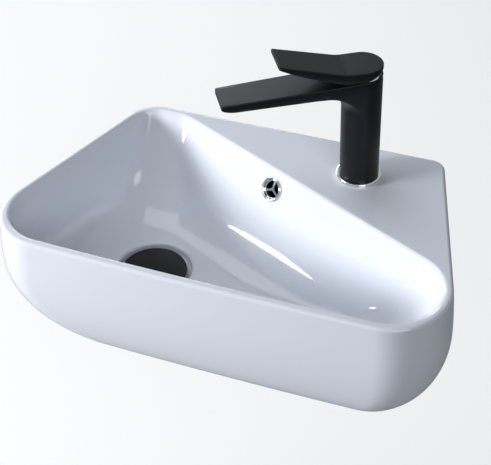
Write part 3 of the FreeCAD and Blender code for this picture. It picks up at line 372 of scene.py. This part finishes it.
def add_grain(mat, group, strength, distance):
    """Puts a grain group on a material's Normal."""
    n = mat.node_tree.nodes.new("ShaderNodeGroup")
    n.node_tree = group
    n.inputs["Strength"].default_value = strength
    n.inputs["Distance"].default_value = distance
    mat.node_tree.links.new(n.outputs["Normal"],
                            mat.node_tree.nodes["Principled BSDF"].inputs["Normal"])


powder = grain_group("powder grain", 900.0, 2.0)
swell = grain_group("glaze swell", 9.0, 1.0)
glaze = principled("white glaze", (0.84, 0.86, 0.91), 0.06, IOR=1.5)
add_grain(glaze, swell, 0.25, 0.0006)
black = principled("satin black", (0.006, 0.0066, 0.0085), 0.34, Specular_IOR_Level=0.25)
add_grain(black, powder, 0.12, 0.0001)
chrome = principled("chrome", (0.78, 0.79, 0.81), 0.05, 1.0)
# Painted shade: a near-black matt finish for the overflow tunnel's walls. It stands in for the
# shade deep inside the hole, whose walls are white glaze.
painted_duct_shade = principled("painted duct shade", (0.012, 0.012, 0.013), 0.8)
rubber = principled("black rubber", (0.02, 0.02, 0.02), 0.6)
brass = principled("brass", (0.62, 0.46, 0.2), 0.3, 1.0)
add_grain(brass, powder, 0.1, 0.0001)
plastic = principled("grey plastic", (0.45, 0.45, 0.44), 0.45)
steel = principled("zinc steel", (0.55, 0.55, 0.56), 0.32, 1.0)
disc_white = principled("lapped ceramic", (0.75, 0.72, 0.66), 0.2)
BY_SLOT = {"ceramic": glaze, "black": black, "chrome": chrome, "rubber": rubber,
           "brass": brass, "plastic": plastic, "steel": steel, "disc": disc_white}
slots = {s["node"]: s["material_slot"] for s in frame["record"]["subparts"]}
for node, obj in frame["nodes"].items():
    obj.data.materials.clear()
    obj.data.materials.append(BY_SLOT[slots[node]])


# ------------------------------------------------------------------ basin

def skirt_rings():
    """Outer skin from the underside up.  Below STRAIGHT the depth goes with the sine of phi,
    so that even angles run round the quarter ellipse; the rim's edge is a quarter circle."""
    rings = []
    for phi in np.linspace(math.pi / 2, 0, 30):
        drop = STRAIGHT + (HEIGHT - STRAIGHT) * math.sin(phi)
        rings.append(at(outer_ring(drop), RIM - drop))
    for drop in UPRIGHT_DROPS:
        rings.append(at(outer_ring(drop), RIM - drop))
    for a in np.linspace(0, math.pi / 2, 8):
        ring = outer_ring(RIM_ROUND * (1 - math.sin(a)), RIM_ROUND * (1 - math.cos(a)))
        rings.append(at(ring, RIM - RIM_ROUND + RIM_ROUND * math.sin(a)))
    return rings


def crest_rings():
    """Bowl's edge: a conic from the flat top, CREST outside the edge, to the wall CREST below
    it.  Its three points are weighted (1-s)^2, 2s(1-s) times CREST_PULL, and s^2."""
    p0 = at(bowl_ring(0, grow=CREST), RIM)
    p1 = at(bowl_ring(0), RIM)
    p2 = at(bowl_ring(CREST), RIM - CREST)
    out = []
    for s in np.linspace(0, 1, 9):
        w = np.array([(1 - s) ** 2, 2 * s * (1 - s) * CREST_PULL, s ** 2])
        out.append((w[0] * p0 + w[1] * p1 + w[2] * p2) / w.sum())
    return out


def toe_depth(th):
    """Depth at an angle round the toe, which starts FOLD_H above the bowl's floor."""
    return BOWL_D - FOLD_H + FOLD_H * math.sin(th)


def wall_rings():
    """Bowl's wall and toe from the crest down: the walls lean in with depth, then round the
    toe the depth goes with the sine of th and the fold with 1 less its cosine."""
    rings = [at(bowl_ring(d), RIM - d) for d in np.linspace(CREST, BOWL_D - FOLD_H, 16)[1:]]
    for th in np.linspace(0, math.pi / 2, 28)[1:]:
        d = toe_depth(th)
        rings.append(at(bowl_ring(d, 1 - math.cos(th)), RIM - d))
    return rings


def waste_angles(edge):
    """Direction from the waste to each point of the floor's edge, moved half way to even."""
    ang = np.unwrap(np.arctan2(edge[:, 1] - WASTE[1], edge[:, 0] - WASTE[0]))
    even = 2 * np.pi * np.arange(len(ang)) / len(ang)
    even += np.mean(ang - even)
    return 0.5 * ang + 0.5 * even


def waste_circle(ang, r, z):
    """Circle round the waste, with a point in each of the directions."""
    return np.column_stack([WASTE[0] + r * np.cos(ang), WASTE[1] + r * np.sin(ang),
                            np.full(len(ang), z)])


def recess_rings(ang, floor_z):
    """Recess and waste hole from the lip down: a quarter ellipse over the lip, a quarter
    circle at the recess's foot, its flat and the hole's wall."""
    rings = [waste_circle(ang, RECESS_R + LIP_ACROSS * (1 - math.sin(a)),
                          floor_z - LIP_DOWN * (1 - math.cos(a)))
             for a in np.linspace(0, math.pi / 2, 9)]
    low = floor_z - RECESS_D
    rings += [waste_circle(ang, RECESS_R - RECESS_FOOT * (1 - math.cos(a)),
                           low + RECESS_FOOT * (1 - math.sin(a)))
              for a in np.linspace(0, math.pi / 2, 5)]
    rings += [waste_circle(ang, r, low) for r in (34.0, 24.0, WASTE_HOLE_R)]
    rings += [waste_circle(ang, WASTE_HOLE_R, z) for z in (low - 6.0, RIM - HEIGHT + 4.0)]
    return rings


def between(a, b, shares):
    """Rings part of the way from one ring to another."""
    return [a + (b - a) * s for s in shares]


def basin_surface():
    """The glazed body as one ring-shaped sheet: underside, skirt, rounded rim, flat top, crest,
    bowl wall, toe, floor, recess and the waste hole's wall, back to the underside."""
    skirt, crest, wall = skirt_rings(), crest_rings(), wall_rings()
    ang = waste_angles(wall[-1])
    floor_z = RIM - BOWL_D
    under = between(waste_circle(ang, WASTE_HOLE_R, RIM - HEIGHT), skirt[0],
                    (0.0, 0.03, 0.25, 0.5, 0.75, 0.97))
    top = between(skirt[-1], crest[0], (0.02, 0.1, 0.25, 0.4, 0.55, 0.7, 0.85, 0.95, 0.985))
    floor = between(wall[-1], waste_circle(ang, RECESS_R + LIP_ACROSS, floor_z),
                    (0.15, 0.4, 0.65, 0.85, 0.96))
    rings = under + skirt + top + crest + wall + floor + recess_rings(ang, floor_z)
    return grid("basin_surface", rings, glaze, flip=True, loop=True)


def capped(name, rings):
    """Closed cutter through rings from the bottom up, with fans at both ends."""
    middle = [np.tile(r.mean(0), (len(r), 1)) for r in (rings[0], rings[-1])]
    return grid(name, [middle[0]] + list(rings) + [middle[1]], None, flip=True)


def along_shelf(along, into):
    """Plan point measured along the shelf's edge from its back end, and into the bowl."""
    base = SHELF_POINT - SHELF_DIR * (SHELF_POINT @ SHELF_DIR)
    start = SHELF_POINT @ SHELF_DIR + (-RIM_W - SHELF_POINT[1]) / SHELF_DIR[1]
    return base + SHELF_DIR * (start + along) + SHELF_IN * into


def duct_corners(drop):
    """Plan corners of the overflow duct with its walls, at a depth: it follows the shelf wall's
    lean, and laps into that wall."""
    out, lap = LEAN["shelf"] * drop - DUCT_BACK, LEAN["shelf"] * drop + DUCT_LAP
    ends = OVER_ALONG - DUCT_HALF, OVER_ALONG + DUCT_HALF
    return [along_shelf(ends[0], out), along_shelf(ends[0], lap),
            along_shelf(ends[1], lap), along_shelf(ends[1], out)]


def duct_floor_corners():
    """Plan corners of the duct's lower run, a strip from the duct's foot to the waste."""
    foot = along_shelf(OVER_ALONG, LEAN["shelf"] * DUCT_FOOT - DUCT_BACK / 2)
    run = WASTE - foot
    half = normal_in(run / np.linalg.norm(run)) * DUCT_HALF
    return [foot - half, WASTE - half, WASTE + half, foot + half]


def hollow_cutter():
    """The space between the skins: the skirt moved in by the skin, less the bowl grown by its
    own skin and lowered, less the walls of the overflow duct and of the waste."""
    drops = STRAIGHT + (HEIGHT - SKIN - STRAIGHT) * np.linspace(1, 0, 9)
    rings = [at(outer_ring(d, SKIN), RIM - d) for d in (*drops, SHELF_T)]
    room = capped("room", rings)
    bowl = []
    for th in np.linspace(math.pi / 2, 0, 10):
        d = toe_depth(th)
        bowl.append(at(bowl_ring(d, 1 - math.cos(th), BOWL_SKIN), RIM - d - SKIN))
    bowl.append(at(bowl_ring(0, 0, BOWL_SKIN), RIM - SKIN))
    carve(room, capped("grown bowl", bowl))
    low = HEIGHT + CUT_PAST
    carve(room, block("duct wall", duct_corners(low), RIM - low,
                      duct_corners(DUCT_TOP), RIM - DUCT_TOP))
    level = duct_floor_corners()
    carve(room, block("duct floor", level, DUCT_FLOOR[0], level, DUCT_FLOOR[1]))
    carve(room, rod("waste boss", WASTE_BOSS_R, WASTE_BOSS_LOW, 0, WASTE))
    carve(room, rod("recess boss", RECESS_R + RECESS_WALL, RIM - BOWL_D - RECESS_D - SKIN, 0,
                    WASTE))
    return room


def opening_cutter():
    """Opening in the underside behind the bowl: the hollow's outline, less what lies ahead of a
    line along the shelf.  Each point is followed by the place where its side crosses the line,
    which is found from how far both ends lie ahead; a mask keeps the ones that are real."""
    ring = outer_ring(HEIGHT - SKIN, SKIN + OPENING_MARGIN)
    ahead = (ring - SHELF_POINT) @ SHELF_IN - OPENING_REACH
    after, ahead_after = np.roll(ring, -1, 0), np.roll(ahead, -1)
    crosses = ahead * ahead_after < 0
    share = np.divide(ahead, ahead - ahead_after, out=np.zeros_like(ahead), where=crosses)
    crossing = ring + (after - ring) * share[:, None]
    points = np.stack([ring, crossing], 1)[np.stack([ahead <= 0, crosses], 1)]
    return block("opening", points, RIM - HEIGHT - CUT_PAST, points, RIM - HEIGHT + SKIN + 1.0)


def overflow_place():
    """The overflow's own axes: x along the shelf, z square out of the slanting wall."""
    out = np.append(SHELF_IN, LEAN["shelf"])
    out /= np.linalg.norm(out)
    across = np.append(SHELF_DIR, 0.0)
    centre = np.append(along_shelf(OVER_ALONG, LEAN["shelf"] * OVER_DROP), RIM - OVER_DROP)
    columns = [np.append(v, 0) for v in (across, np.cross(out, across), out)]
    return Matrix(np.column_stack([*columns, np.append(centre * MM, 1)]).tolist())


def bolt_hole(x):
    """Hole for a wall bolt through the back wall, level and square to it."""
    hole = rod("bolt hole", BOLT_HOLE_R, -2.0, SKIN + 3.0, n=64)
    place(hole, Matrix.Rotation(math.radians(90), 4, "X"))
    return place(hole, Matrix.Translation((x * MM, 0, 0)))


OVERFLOW = overflow_place()
basin = basin_surface()
carve(basin, hollow_cutter())
carve(basin, opening_cutter())
for x in (-BOLT_X, BOLT_X):
    carve(basin, bolt_hole(x))
carve(basin, rod("tap hole", TAP_HOLE_R, RIM - 20.0, RIM + 10.0, TAP))
# The tunnel's cut walls take the near-black painted shade in place of the shade deep in the
# overflow hole.
tunnel = rod("tunnel", OVER_HOLE_R, -OVER_HOLE_D, 5.0, n=96, material=painted_duct_shade)
carve(basin, place(tunnel, OVERFLOW))
finish_piece(basin, "basin", "ceramic", "basin_body")

# Overflow ring from its bore over a raised inner lip, a groove and an outer bead to the flange's
# underside, and along the barrel to its end.
RING_PROFILE = [(9.6, -2.0), (9.6, 0.9), (9.75, 1.3), (10.0, 1.5), (10.3, 1.5), (10.7, 1.0),
                (11.1, 1.0), (11.5, 1.6), (11.8, 1.7), (12.2, 1.5), (12.45, 1.1), (12.5, 0.7),
                (12.5, 0.2), (10.9, 0.2), (10.9, -8.8), (9.6, -8.8)]
overflow_ring = lathe("overflow_ring_bright", RING_PROFILE[::-1], chrome, n=96)
finish_piece(place(overflow_ring, OVERFLOW), "basin", "chrome", "overflow_ring")

# ------------------------------------------------------------------ waste cover

# The cover's outer edge, the chord and rise of its crown, what lies between it and the recess,
# and the groove for its seal.
CAP_R, CAP_EDGE, CAP_ROUND = 33.8, 3.0, 1.3
DOME_R, DOME_H = 32.4, 2.4
GASKET_T, FLANGE_T, CAP_LIFT = 1.0, 2.5, 1.0
GROOVE_OUT, GROOVE_IN, GROOVE_D = 26.1, 22.9, 0.6


def waste_cover():
    """Cover: a crown that is part of a sphere through DOME_H over a chord of DOME_R, a round
    edge that takes over from it, a bevelled lower edge and a seal groove underneath."""
    under = RIM - BOWL_D - RECESS_D + GASKET_T + FLANGE_T + CAP_LIFT
    ball = (DOME_R ** 2 + DOME_H ** 2) / (2 * DOME_H)
    crown = [(r, under + CAP_EDGE + DOME_H - ball + math.sqrt(ball ** 2 - r * r))
             for r in np.linspace(0, 31.6, 14)]
    edge = [(CAP_R - CAP_ROUND + CAP_ROUND * math.sin(a),
             under + CAP_EDGE - CAP_ROUND + CAP_ROUND * math.cos(a))
            for a in np.linspace(0.15, math.pi / 2, 7)]
    below = [(CAP_R, under + 0.6), (CAP_R - 0.6, under), (GROOVE_OUT, under),
             (GROOVE_OUT, under + GROOVE_D), (GROOVE_IN, under + GROOVE_D),
             (GROOVE_IN, under), (0, under)]
    return lathe("waste_cover", crown + edge + below, black, WASTE, n=160)


finish_piece(waste_cover(), "plug", "black", "waste_cap")

# ------------------------------------------------------------------ tap

# Column, blades (spout and lever share one plan), spout, cartridge bore, the web under the
# spout's root, the foot in the tap hole and the aerator's pocket.  A blade points along +X here
# and is turned by the heading when it is placed.
HEADING = math.radians(213.2)
TAP_PLACE = (Matrix.Translation((TAP[0] * MM, TAP[1] * MM, RIM * MM))
             @ Matrix.Rotation(HEADING, 4, "Z"))
COL_R, COL_TOP = 19.2, 119.0
BLADE_ROUND, TIP_ROUND = 0.9, 2.5
N_BLADE = (90, 60, 7, 18)
SPOUT_REACH, SPOUT_HALF = 136.8, 16.5
SPOUT_ROOT, SPOUT_TIP, SPOUT_UNDER = 118.4, 114.4, 106.2
TIP_LIFT, TIP_RUN = 3.2, 14.0
ROOT_START, ROOT_BLEND = 19.25, 1.5
BORE_R, BORE_FLOOR = 15.05, 105.0
WEB_R = 24.0
EDGE_START, EDGE_RUN = 39.0, 8.0
FOOT_R, FOOT_TOP, FOOT_LOW = 17.3, 3.6, -3.0
AERATOR_X, POCKET_R, POCKET_ROOF = SPOUT_REACH - 26.5, 9.85, 111.6


def blade_ring(reach, tip_half, d=0.0):
    """Plan of a blade, d inside its outline, counterclockwise from the upper touching point:
    round about the column, straight sides narrowing to a tip, and small round corners that are
    parabolas from side to tip."""
    n_back, n_side, n_corner, n_tip = N_BLADE
    r = COL_R - d
    slope = math.atan((COL_R - tip_half) / reach)
    a = np.linspace(math.pi / 2 - slope, 3 * math.pi / 2 + slope, n_back + 1)
    back = r * np.stack([np.cos(a), np.sin(a)], 1)
    corner_r = max(TIP_ROUND - d, 0.02)
    tip = np.array([reach - d, -(tip_half - d)])
    c0 = tip - np.array([math.cos(slope), math.sin(slope)]) * corner_r
    c1 = tip + np.array([0, corner_r])
    turn = np.linspace(0, 1, n_corner + 2)[1:-1, None]
    curve = (1 - turn) ** 2 * c0 + 2 * turn * (1 - turn) * tip + turn ** 2 * c1
    s = np.linspace(0, 1, n_side + 1)[1:, None]
    low = back[-1] + (c0 - back[-1]) * s
    across = np.linspace(c1[1], -c1[1], n_tip + 1)
    tip_run = np.stack([np.full(n_tip + 1, reach - d), across], 1)
    mirror = np.array([1.0, -1.0])
    return np.concatenate([back, low, curve, tip_run, (curve * mirror)[::-1],
                           (low * mirror)[::-1]])


def spine(reach, tip_half):
    """The line the blade's outline shrinks to, with a point for each outline point."""
    ring = blade_ring(reach, tip_half)
    x = np.clip(ring[:, 0], 0.0, reach - tip_half)
    return np.stack([x, np.zeros(len(x))], 1)


def spout_top(p):
    """Height of the spout's top: it falls evenly to the tip, and eases up to the column's top
    with f squared times 3 - 2f, f being the share of the blend that is passed."""
    r = np.hypot(p[:, 0], p[:, 1])
    f = np.clip((r - ROOT_START) / ROOT_BLEND, 0, 1)
    plain = SPOUT_ROOT - (SPOUT_ROOT - SPOUT_TIP) * np.clip(p[:, 0], 0, None) / SPOUT_REACH
    return COL_TOP + (plain - COL_TOP) * f * f * (3 - 2 * f)


def spout_under(x):
    """Height of the spout's underside: flat, then rising with the square of the share of the
    last TIP_RUN that is passed, to a thinner tip."""
    return SPOUT_UNDER + TIP_LIFT * np.clip((x - SPOUT_REACH + TIP_RUN) / TIP_RUN, 0, 1) ** 2


def rays(outline, r):
    """Directions from the column's axis to an outline's points, and how far each may go: to the
    outline or to radius r.  Those that lie further than r share their arc evenly."""
    dist = np.hypot(outline[:, 0], outline[:, 1])
    phi = np.arctan2(outline[:, 1], outline[:, 0])
    beyond = (dist > r) & (outline[:, 0] > 0)
    first, last = np.flatnonzero(beyond)[[0, -1]]
    phi[first:last + 1] = np.linspace(phi[first], phi[last], last - first + 1)
    return np.stack([np.cos(phi), np.sin(phi)], 1), np.where(beyond, r, dist)


def spout_top_rings():
    """Cartridge bore from its floor's middle up its wall, then out over the column's top in
    circles that stop at the blade's outline, and on over the spout's top to its edges."""
    inner = blade_ring(SPOUT_REACH, SPOUT_HALF, BLADE_ROUND + 0.1)
    ray, limit = rays(inner, 22.0)
    rings = [at(ray * r, BORE_FLOOR) for r in (0.0, BORE_R)]
    for r in (BORE_R, 17.0, COL_R, 20.0, 20.9, 22.0):
        plan = ray * np.minimum(r, limit)[:, None]
        rings.append(at(plan, spout_top(plan)))
    for p in between(plan, inner, (0.05, 0.2, 0.4, 0.6, 0.8, 1.0)):
        rings.append(at(p, spout_top(p)))
    return rings


def spout_edge_rings(outline):
    """Spout's edges from the top down: quarter circles above and below an upright band.  The
    lower one fades out towards the column, where the web takes its place."""
    top, low = spout_top(outline), spout_under(outline[:, 0])
    rings = []
    for a in np.linspace(math.pi / 2, 0, 6):
        plan = blade_ring(SPOUT_REACH, SPOUT_HALF, BLADE_ROUND * (1 - math.sin(a)))
        rings.append(at(plan, top - BLADE_ROUND * (1 - math.cos(a))))
    rings.append(at(outline, top * 0.5 + low * 0.5))
    out = np.clip((outline[:, 0] - EDGE_START) / EDGE_RUN, 0, 1)
    for a in np.linspace(0, math.pi / 2, 6):
        inner = blade_ring(SPOUT_REACH, SPOUT_HALF, BLADE_ROUND * (1 - math.cos(a)))
        plan = outline + (inner - outline) * out[:, None]
        rings.append(at(plan, low + BLADE_ROUND * (1 - math.sin(a)) * out))
    return rings


def column_rings(outline, edge_plan):
    """Spout's underside in to the web, the web as a quarter circle down to the column, cut off
    where the blade ends, then the column and its foot."""
    ray, limit = rays(outline, COL_R + WEB_R)
    rings = [at(plan, spout_under(plan[:, 0]))
             for plan in between(edge_plan, ray * limit[:, None], (0.03, 0.2, 0.4, 0.6, 0.8, 0.97))]
    for psi in np.linspace(0, math.pi / 2, 25):
        reach = np.minimum(COL_R + WEB_R * (1 - math.sin(psi)), limit)
        rings.append(at(ray * reach[:, None], SPOUT_UNDER - WEB_R + WEB_R * math.cos(psi)))
    rings += [at(ray * COL_R, z) for z in (72.0, 50.0, 30.0, 8.0, 4.0)]
    for r, z in ((COL_R - 0.3, FOOT_TOP + 0.05), (FOOT_R, FOOT_TOP), (FOOT_R, FOOT_LOW),
                 (0.0, FOOT_LOW)):
        rings.append(at(ray * r, z))
    return rings


def tap_surface():
    """Column and spout as one skin: from the cartridge bore's floor up its wall, over the
    spout's top, round its edges, under it to a web round the column, and down to its foot."""
    outline = blade_ring(SPOUT_REACH, SPOUT_HALF)
    edge = spout_edge_rings(outline)
    rings = spout_top_rings() + edge + column_rings(outline, edge[-1][:, :2])
    return grid("tap_skin", rings, black, sharp=40.0)


tap = tap_surface()
pocket = rod("aerator pocket", POCKET_R, 100.0, POCKET_ROOF, (AERATOR_X, 0), n=96)
carve(tap, pocket, sharp=40.0)
finish_piece(place(tap, TAP_PLACE), "basin", "black", "tap_body")

# Base ring: room for the gasket underneath, a narrow foot outside it, an upright side and a
# rounded upper edge.
BASE_R, BASE_BORE, BASE_ROOM_R, BASE_ROOM_H = 22.5, 17.6, 21.2, 1.0
BASE_PROFILE = [(BASE_BORE, BASE_ROOM_H), (BASE_ROOM_R, BASE_ROOM_H), (BASE_ROOM_R, 0.0),
                (BASE_R, 0.0), (BASE_R, 2.6), (22.35, 3.05), (22.0, 3.4), (21.5, 3.58),
                (20.9, FOOT_TOP), (BASE_BORE, FOOT_TOP)]
foot = lathe("base_ring_bright", BASE_PROFILE[::-1], chrome, n=160)
finish_piece(place(foot, TAP_PLACE), "basin", "chrome", "base_ring")

# ------------------------------------------------------------------ lever

# The bright ring and the lever's hollow are balls about the pivot.  The lever has a cap over the
# column, a crease and a paddle above, and a chin, a heel and a rise to the tip underneath.
PIVOT_H = 112.0
DOME_BALL, DOME_BORE, DOME_LOW, DOME_TOP = 19.0, 13.5, COL_TOP + 0.05, 122.8
LEVER_REACH, LEVER_HALF, LEVER_CAP, LEVER_TIP = 83.0, 17.3, 130.0, 148.0
CREASE_X, CREASE_SOFT, CAP_SLOPE = 21.0, 0.35, 0.025
CHIN_H, CHIN_X, HEEL_SLOPE = 119.7, 18.2, math.tan(math.radians(17.0))
UNDER_TIP, UNDER_END, BELLY = 144.4, 82.0, 2.2
UNDER_ROUND = 0.6
HOLLOW_R, HOLLOW_ROOF = 19.4, 127.4
BOSS_R, SOCKET_HALF = 6.6, 3.6


def ball_radius(r, z):
    """Radius, at a height, of a ball about the lever's pivot."""
    return np.sqrt(r ** 2 - (z - PIVOT_H) ** 2)


def dome_ring():
    """Bright ring between column and lever: a band of a ball about the lever's pivot."""
    heights = np.linspace(DOME_LOW, DOME_TOP, 8)
    band = list(zip(ball_radius(DOME_BALL, heights), heights))
    profile = [(DOME_BORE, DOME_LOW)] + band + [(DOME_BORE, DOME_TOP)]
    return lathe("dome_ring_bright", profile[::-1], chrome, n=128)


finish_piece(place(dome_ring(), TAP_PLACE), "basin", "chrome", "cover_dome")


def lever_top(p):
    """Height of the lever's top: the higher of a nearly level cap and a paddle that rises from
    the crease to the tip, softened: k times the logarithm of the sum of both exponentials."""
    x = p[:, 0]
    paddle = LEVER_CAP + (x - CREASE_X) * (LEVER_TIP - LEVER_CAP) / (LEVER_REACH - CREASE_X)
    cap = LEVER_CAP + CAP_SLOPE * (x - CREASE_X)
    return CREASE_SOFT * np.logaddexp(paddle / CREASE_SOFT, cap / CREASE_SOFT)


def lever_under(p):
    """Height of the lever's underside: a level chin, a heel that rises backwards at a slope,
    and from the chin's end a straight rise to the tip that sags by BELLY half way."""
    x = p[:, 0]
    heel = CHIN_H + np.clip(-x, 0, None) * HEEL_SLOPE
    f = np.clip((x - CHIN_X) / (UNDER_END - CHIN_X), 0, 1)
    rise = CHIN_H + f * (UNDER_TIP - CHIN_H) - 4 * BELLY * f * (1 - f)
    return np.where(x > CHIN_X, rise, heel)


def lever_blade_rings(outline):
    """Lever from its middle line out over the top, round the upper edge, down its side and
    round the lower edge; both edges are quarter circles."""
    rings = []
    for d in (None, 15.0, 11.0, 7.0, 4.0, 2.2, BLADE_ROUND + 0.1):
        plan = (spine(LEVER_REACH, LEVER_HALF) if d is None
                else blade_ring(LEVER_REACH, LEVER_HALF, d))
        rings.append(at(plan, lever_top(plan)))
    for a in np.linspace(math.pi / 2, 0, 6):
        plan = blade_ring(LEVER_REACH, LEVER_HALF, BLADE_ROUND * (1 - math.sin(a)))
        rings.append(at(plan, lever_top(plan) - BLADE_ROUND * (1 - math.cos(a))))
    rings.append(at(outline, 0.5 * (lever_top(outline) + lever_under(outline))))
    for a in np.linspace(0, math.pi / 2, 5):
        plan = blade_ring(LEVER_REACH, LEVER_HALF, UNDER_ROUND * (1 - math.cos(a)))
        rings.append(at(plan, lever_under(plan) + UNDER_ROUND * (1 - math.sin(a))))
    return rings


def lever_hollow_rings(outline, edge_plan):
    """Lever's underside in to the rim of its ball-shaped hollow, up the hollow to its roof,
    down the boss and up the square socket.  The rim is where ball and underside meet, found by
    setting the ball's radius to that at the underside's height, over and over."""
    ray, _ = rays(outline, COL_R + 0.1)
    rim = np.full(len(ray), 17.0)
    for _ in range(30):
        rim = ball_radius(HOLLOW_R, lever_under(ray * rim[:, None]))
    target = ray * rim[:, None]
    rings = [at(p, lever_under(p))
             for p in between(edge_plan, target, (0.03, 0.15, 0.3, 0.45, 0.6, 0.75, 0.9, 1.0))]
    low = lever_under(target)
    for t in np.linspace(0, 1, 9)[1:]:
        z = low + (HOLLOW_ROOF - low) * t
        rings.append(at(ray * ball_radius(HOLLOW_R, z)[:, None], z))
    boss = ray * BOSS_R
    square = ray * (SOCKET_HALF / np.abs(ray).max(1))[:, None]
    rings += [at(boss, HOLLOW_ROOF), at(boss, lever_under(boss)), at(square, lever_under(square)),
              at(square, HOLLOW_ROOF), at(square * 0, HOLLOW_ROOF)]
    return rings


def lever_surface():
    """Lever as one skin from its middle line over the top, the edges and the underside to the
    rim of the ball-shaped hollow, up into it, down its boss and up the square socket."""
    outline = blade_ring(LEVER_REACH, LEVER_HALF)
    blade = lever_blade_rings(outline)
    rings = blade + lever_hollow_rings(outline, blade[-1][:, :2])
    return grid("lever_skin", rings, black, sharp=30.0)


finish_piece(place(lever_surface(), TAP_PLACE), "lever_arm", "black", "lever")

# ------------------------------------------------------------------ stage and light

scene = bpy.context.scene
FLOOR_Z, FLOOR_HALF, FLOOR_LIFT = -0.45, 15, 0.60
AMBIENT, GLOSSY_SHARE = 0.03, 0.45
COOL = (0.87, 0.93, 1.0)
AIM = (0, -120, 0)


def floor_finish():
    """Pale matt sheet.  Camera rays get a little light added, so that it reads as white paper
    and still keeps the shadow."""
    mat = principled("floor", (0.35, 0.35, 0.35), 0.9)
    tree = mat.node_tree
    path = tree.nodes.new("ShaderNodeLightPath")
    lift = tree.nodes.new("ShaderNodeMath")
    lift.operation = "MULTIPLY"
    lift.inputs[1].default_value = FLOOR_LIFT
    shader = tree.nodes["Principled BSDF"]
    shader.inputs["Emission Color"].default_value = (1, 1, 1, 1)
    tree.links.new(path.outputs["Is Camera Ray"], lift.inputs[0])
    tree.links.new(lift.outputs[0], shader.inputs["Emission Strength"])
    return mat


def floor_sheet():
    """Square floor well below the basin, which hangs on a wall that isn't shown."""
    mesh = bpy.data.meshes.new("floor")
    h = FLOOR_HALF
    mesh.from_pydata([(-h, -h, FLOOR_Z), (h, -h, FLOOR_Z), (h, h, FLOOR_Z), (-h, h, FLOOR_Z)],
                     [], [(0, 1, 2, 3)])
    mesh.materials.append(floor_finish())
    obj = bpy.data.objects.new("floor", mesh)
    scene.collection.objects.link(obj)
    return obj


def studio_world():
    """Dim cool light for the object, white for camera rays and part of it for glossy ones."""
    world = bpy.data.worlds.new("studio")
    world.use_nodes = True
    tree = world.node_tree
    tree.nodes.clear()
    out = tree.nodes.new("ShaderNodeOutputWorld")
    path = tree.nodes.new("ShaderNodeLightPath")
    both = tree.nodes.new("ShaderNodeMixShader")
    for socket, color, strength in ((1, COOL, AMBIENT), (2, (1, 1, 1), 1.0)):
        back = tree.nodes.new("ShaderNodeBackground")
        back.inputs["Color"].default_value = (*color, 1)
        back.inputs["Strength"].default_value = strength
        tree.links.new(back.outputs[0], both.inputs[socket])
    seen = tree.nodes.new("ShaderNodeMath")
    seen.operation = "MULTIPLY_ADD"
    tree.links.new(path.outputs["Is Glossy Ray"], seen.inputs[0])
    seen.inputs[1].default_value = GLOSSY_SHARE
    tree.links.new(path.outputs["Is Camera Ray"], seen.inputs[2])
    tree.links.new(seen.outputs[0], both.inputs[0])
    tree.links.new(both.outputs[0], out.inputs["Surface"])
    return world


def area(name, at_mm, size, power, color):
    """Rectangular lamp aimed at the basin; its place in millimetres, its size in metres."""
    lamp = bpy.data.lights.new(name, "AREA")
    lamp.shape = "RECTANGLE"
    lamp.size, lamp.size_y = size
    lamp.energy = power
    lamp.color = color
    obj = bpy.data.objects.new(name, lamp)
    scene.collection.objects.link(obj)
    obj.location = Vector(at_mm) * MM
    obj.rotation_euler = (Vector(AIM) - Vector(at_mm)).to_track_quat("-Z", "Y").to_euler()


floor = floor_sheet()
scene.world = studio_world()
area("key", (-1685, -1155, 500), (0.7, 0.4), 45.0, (0.93, 0.95, 1.0))
area("top_left", (-900, -100, 1700), (1.2, 1.2), 9.5, COOL)
area("fill", (1100, -1500, 1100), (0.9, 0.9), 11.0, COOL)
area("back_left", (-1305, 1450, 890), (1.6, 0.7), 22.0, COOL)

# ------------------------------------------------------------------ camera

# The photograph's view: right of straight ahead, above, and a slight roll, from a distance to a
# point in the rim's plane.  Focal length and shift are in pixels of the photograph.
VIEW_AZ, VIEW_EL, VIEW_ROLL = math.radians(23.02), math.radians(40.30), math.radians(-2.62)
VIEW_AT, VIEW_DIST = (4.76, -166.07, RIM), 1155.1
IMAGE_W, FOCAL_PX, SHIFT_PX = 491, 1230.2, (10.5, -2.5)
SENSOR_W = 36


def photo_camera():
    """Camera whose axes come from azimuth and elevation, then turn by the roll."""
    backward = Vector((math.sin(VIEW_AZ) * math.cos(VIEW_EL),
                       -math.cos(VIEW_AZ) * math.cos(VIEW_EL), math.sin(VIEW_EL)))
    level = (-backward).cross(Vector((0, 0, 1))).normalized()
    upright = level.cross(-backward)
    right = math.cos(VIEW_ROLL) * level + math.sin(VIEW_ROLL) * upright
    up = -math.sin(VIEW_ROLL) * level + math.cos(VIEW_ROLL) * upright
    data = bpy.data.cameras.new("camera")
    data.lens = FOCAL_PX * SENSOR_W / IMAGE_W
    data.sensor_width = SENSOR_W
    data.shift_x, data.shift_y = (px / IMAGE_W for px in SHIFT_PX)
    data.clip_end = 100
    cam = bpy.data.objects.new("camera", data)
    scene.collection.objects.link(cam)
    pos = (Vector(VIEW_AT) + backward * VIEW_DIST) * MM
    cam.matrix_world = Matrix((*((right[k], up[k], backward[k], pos[k]) for k in range(3)),
                               (0, 0, 0, 1)))
    return cam


scene.camera = photo_camera()
scene.view_settings.view_transform = "Standard"
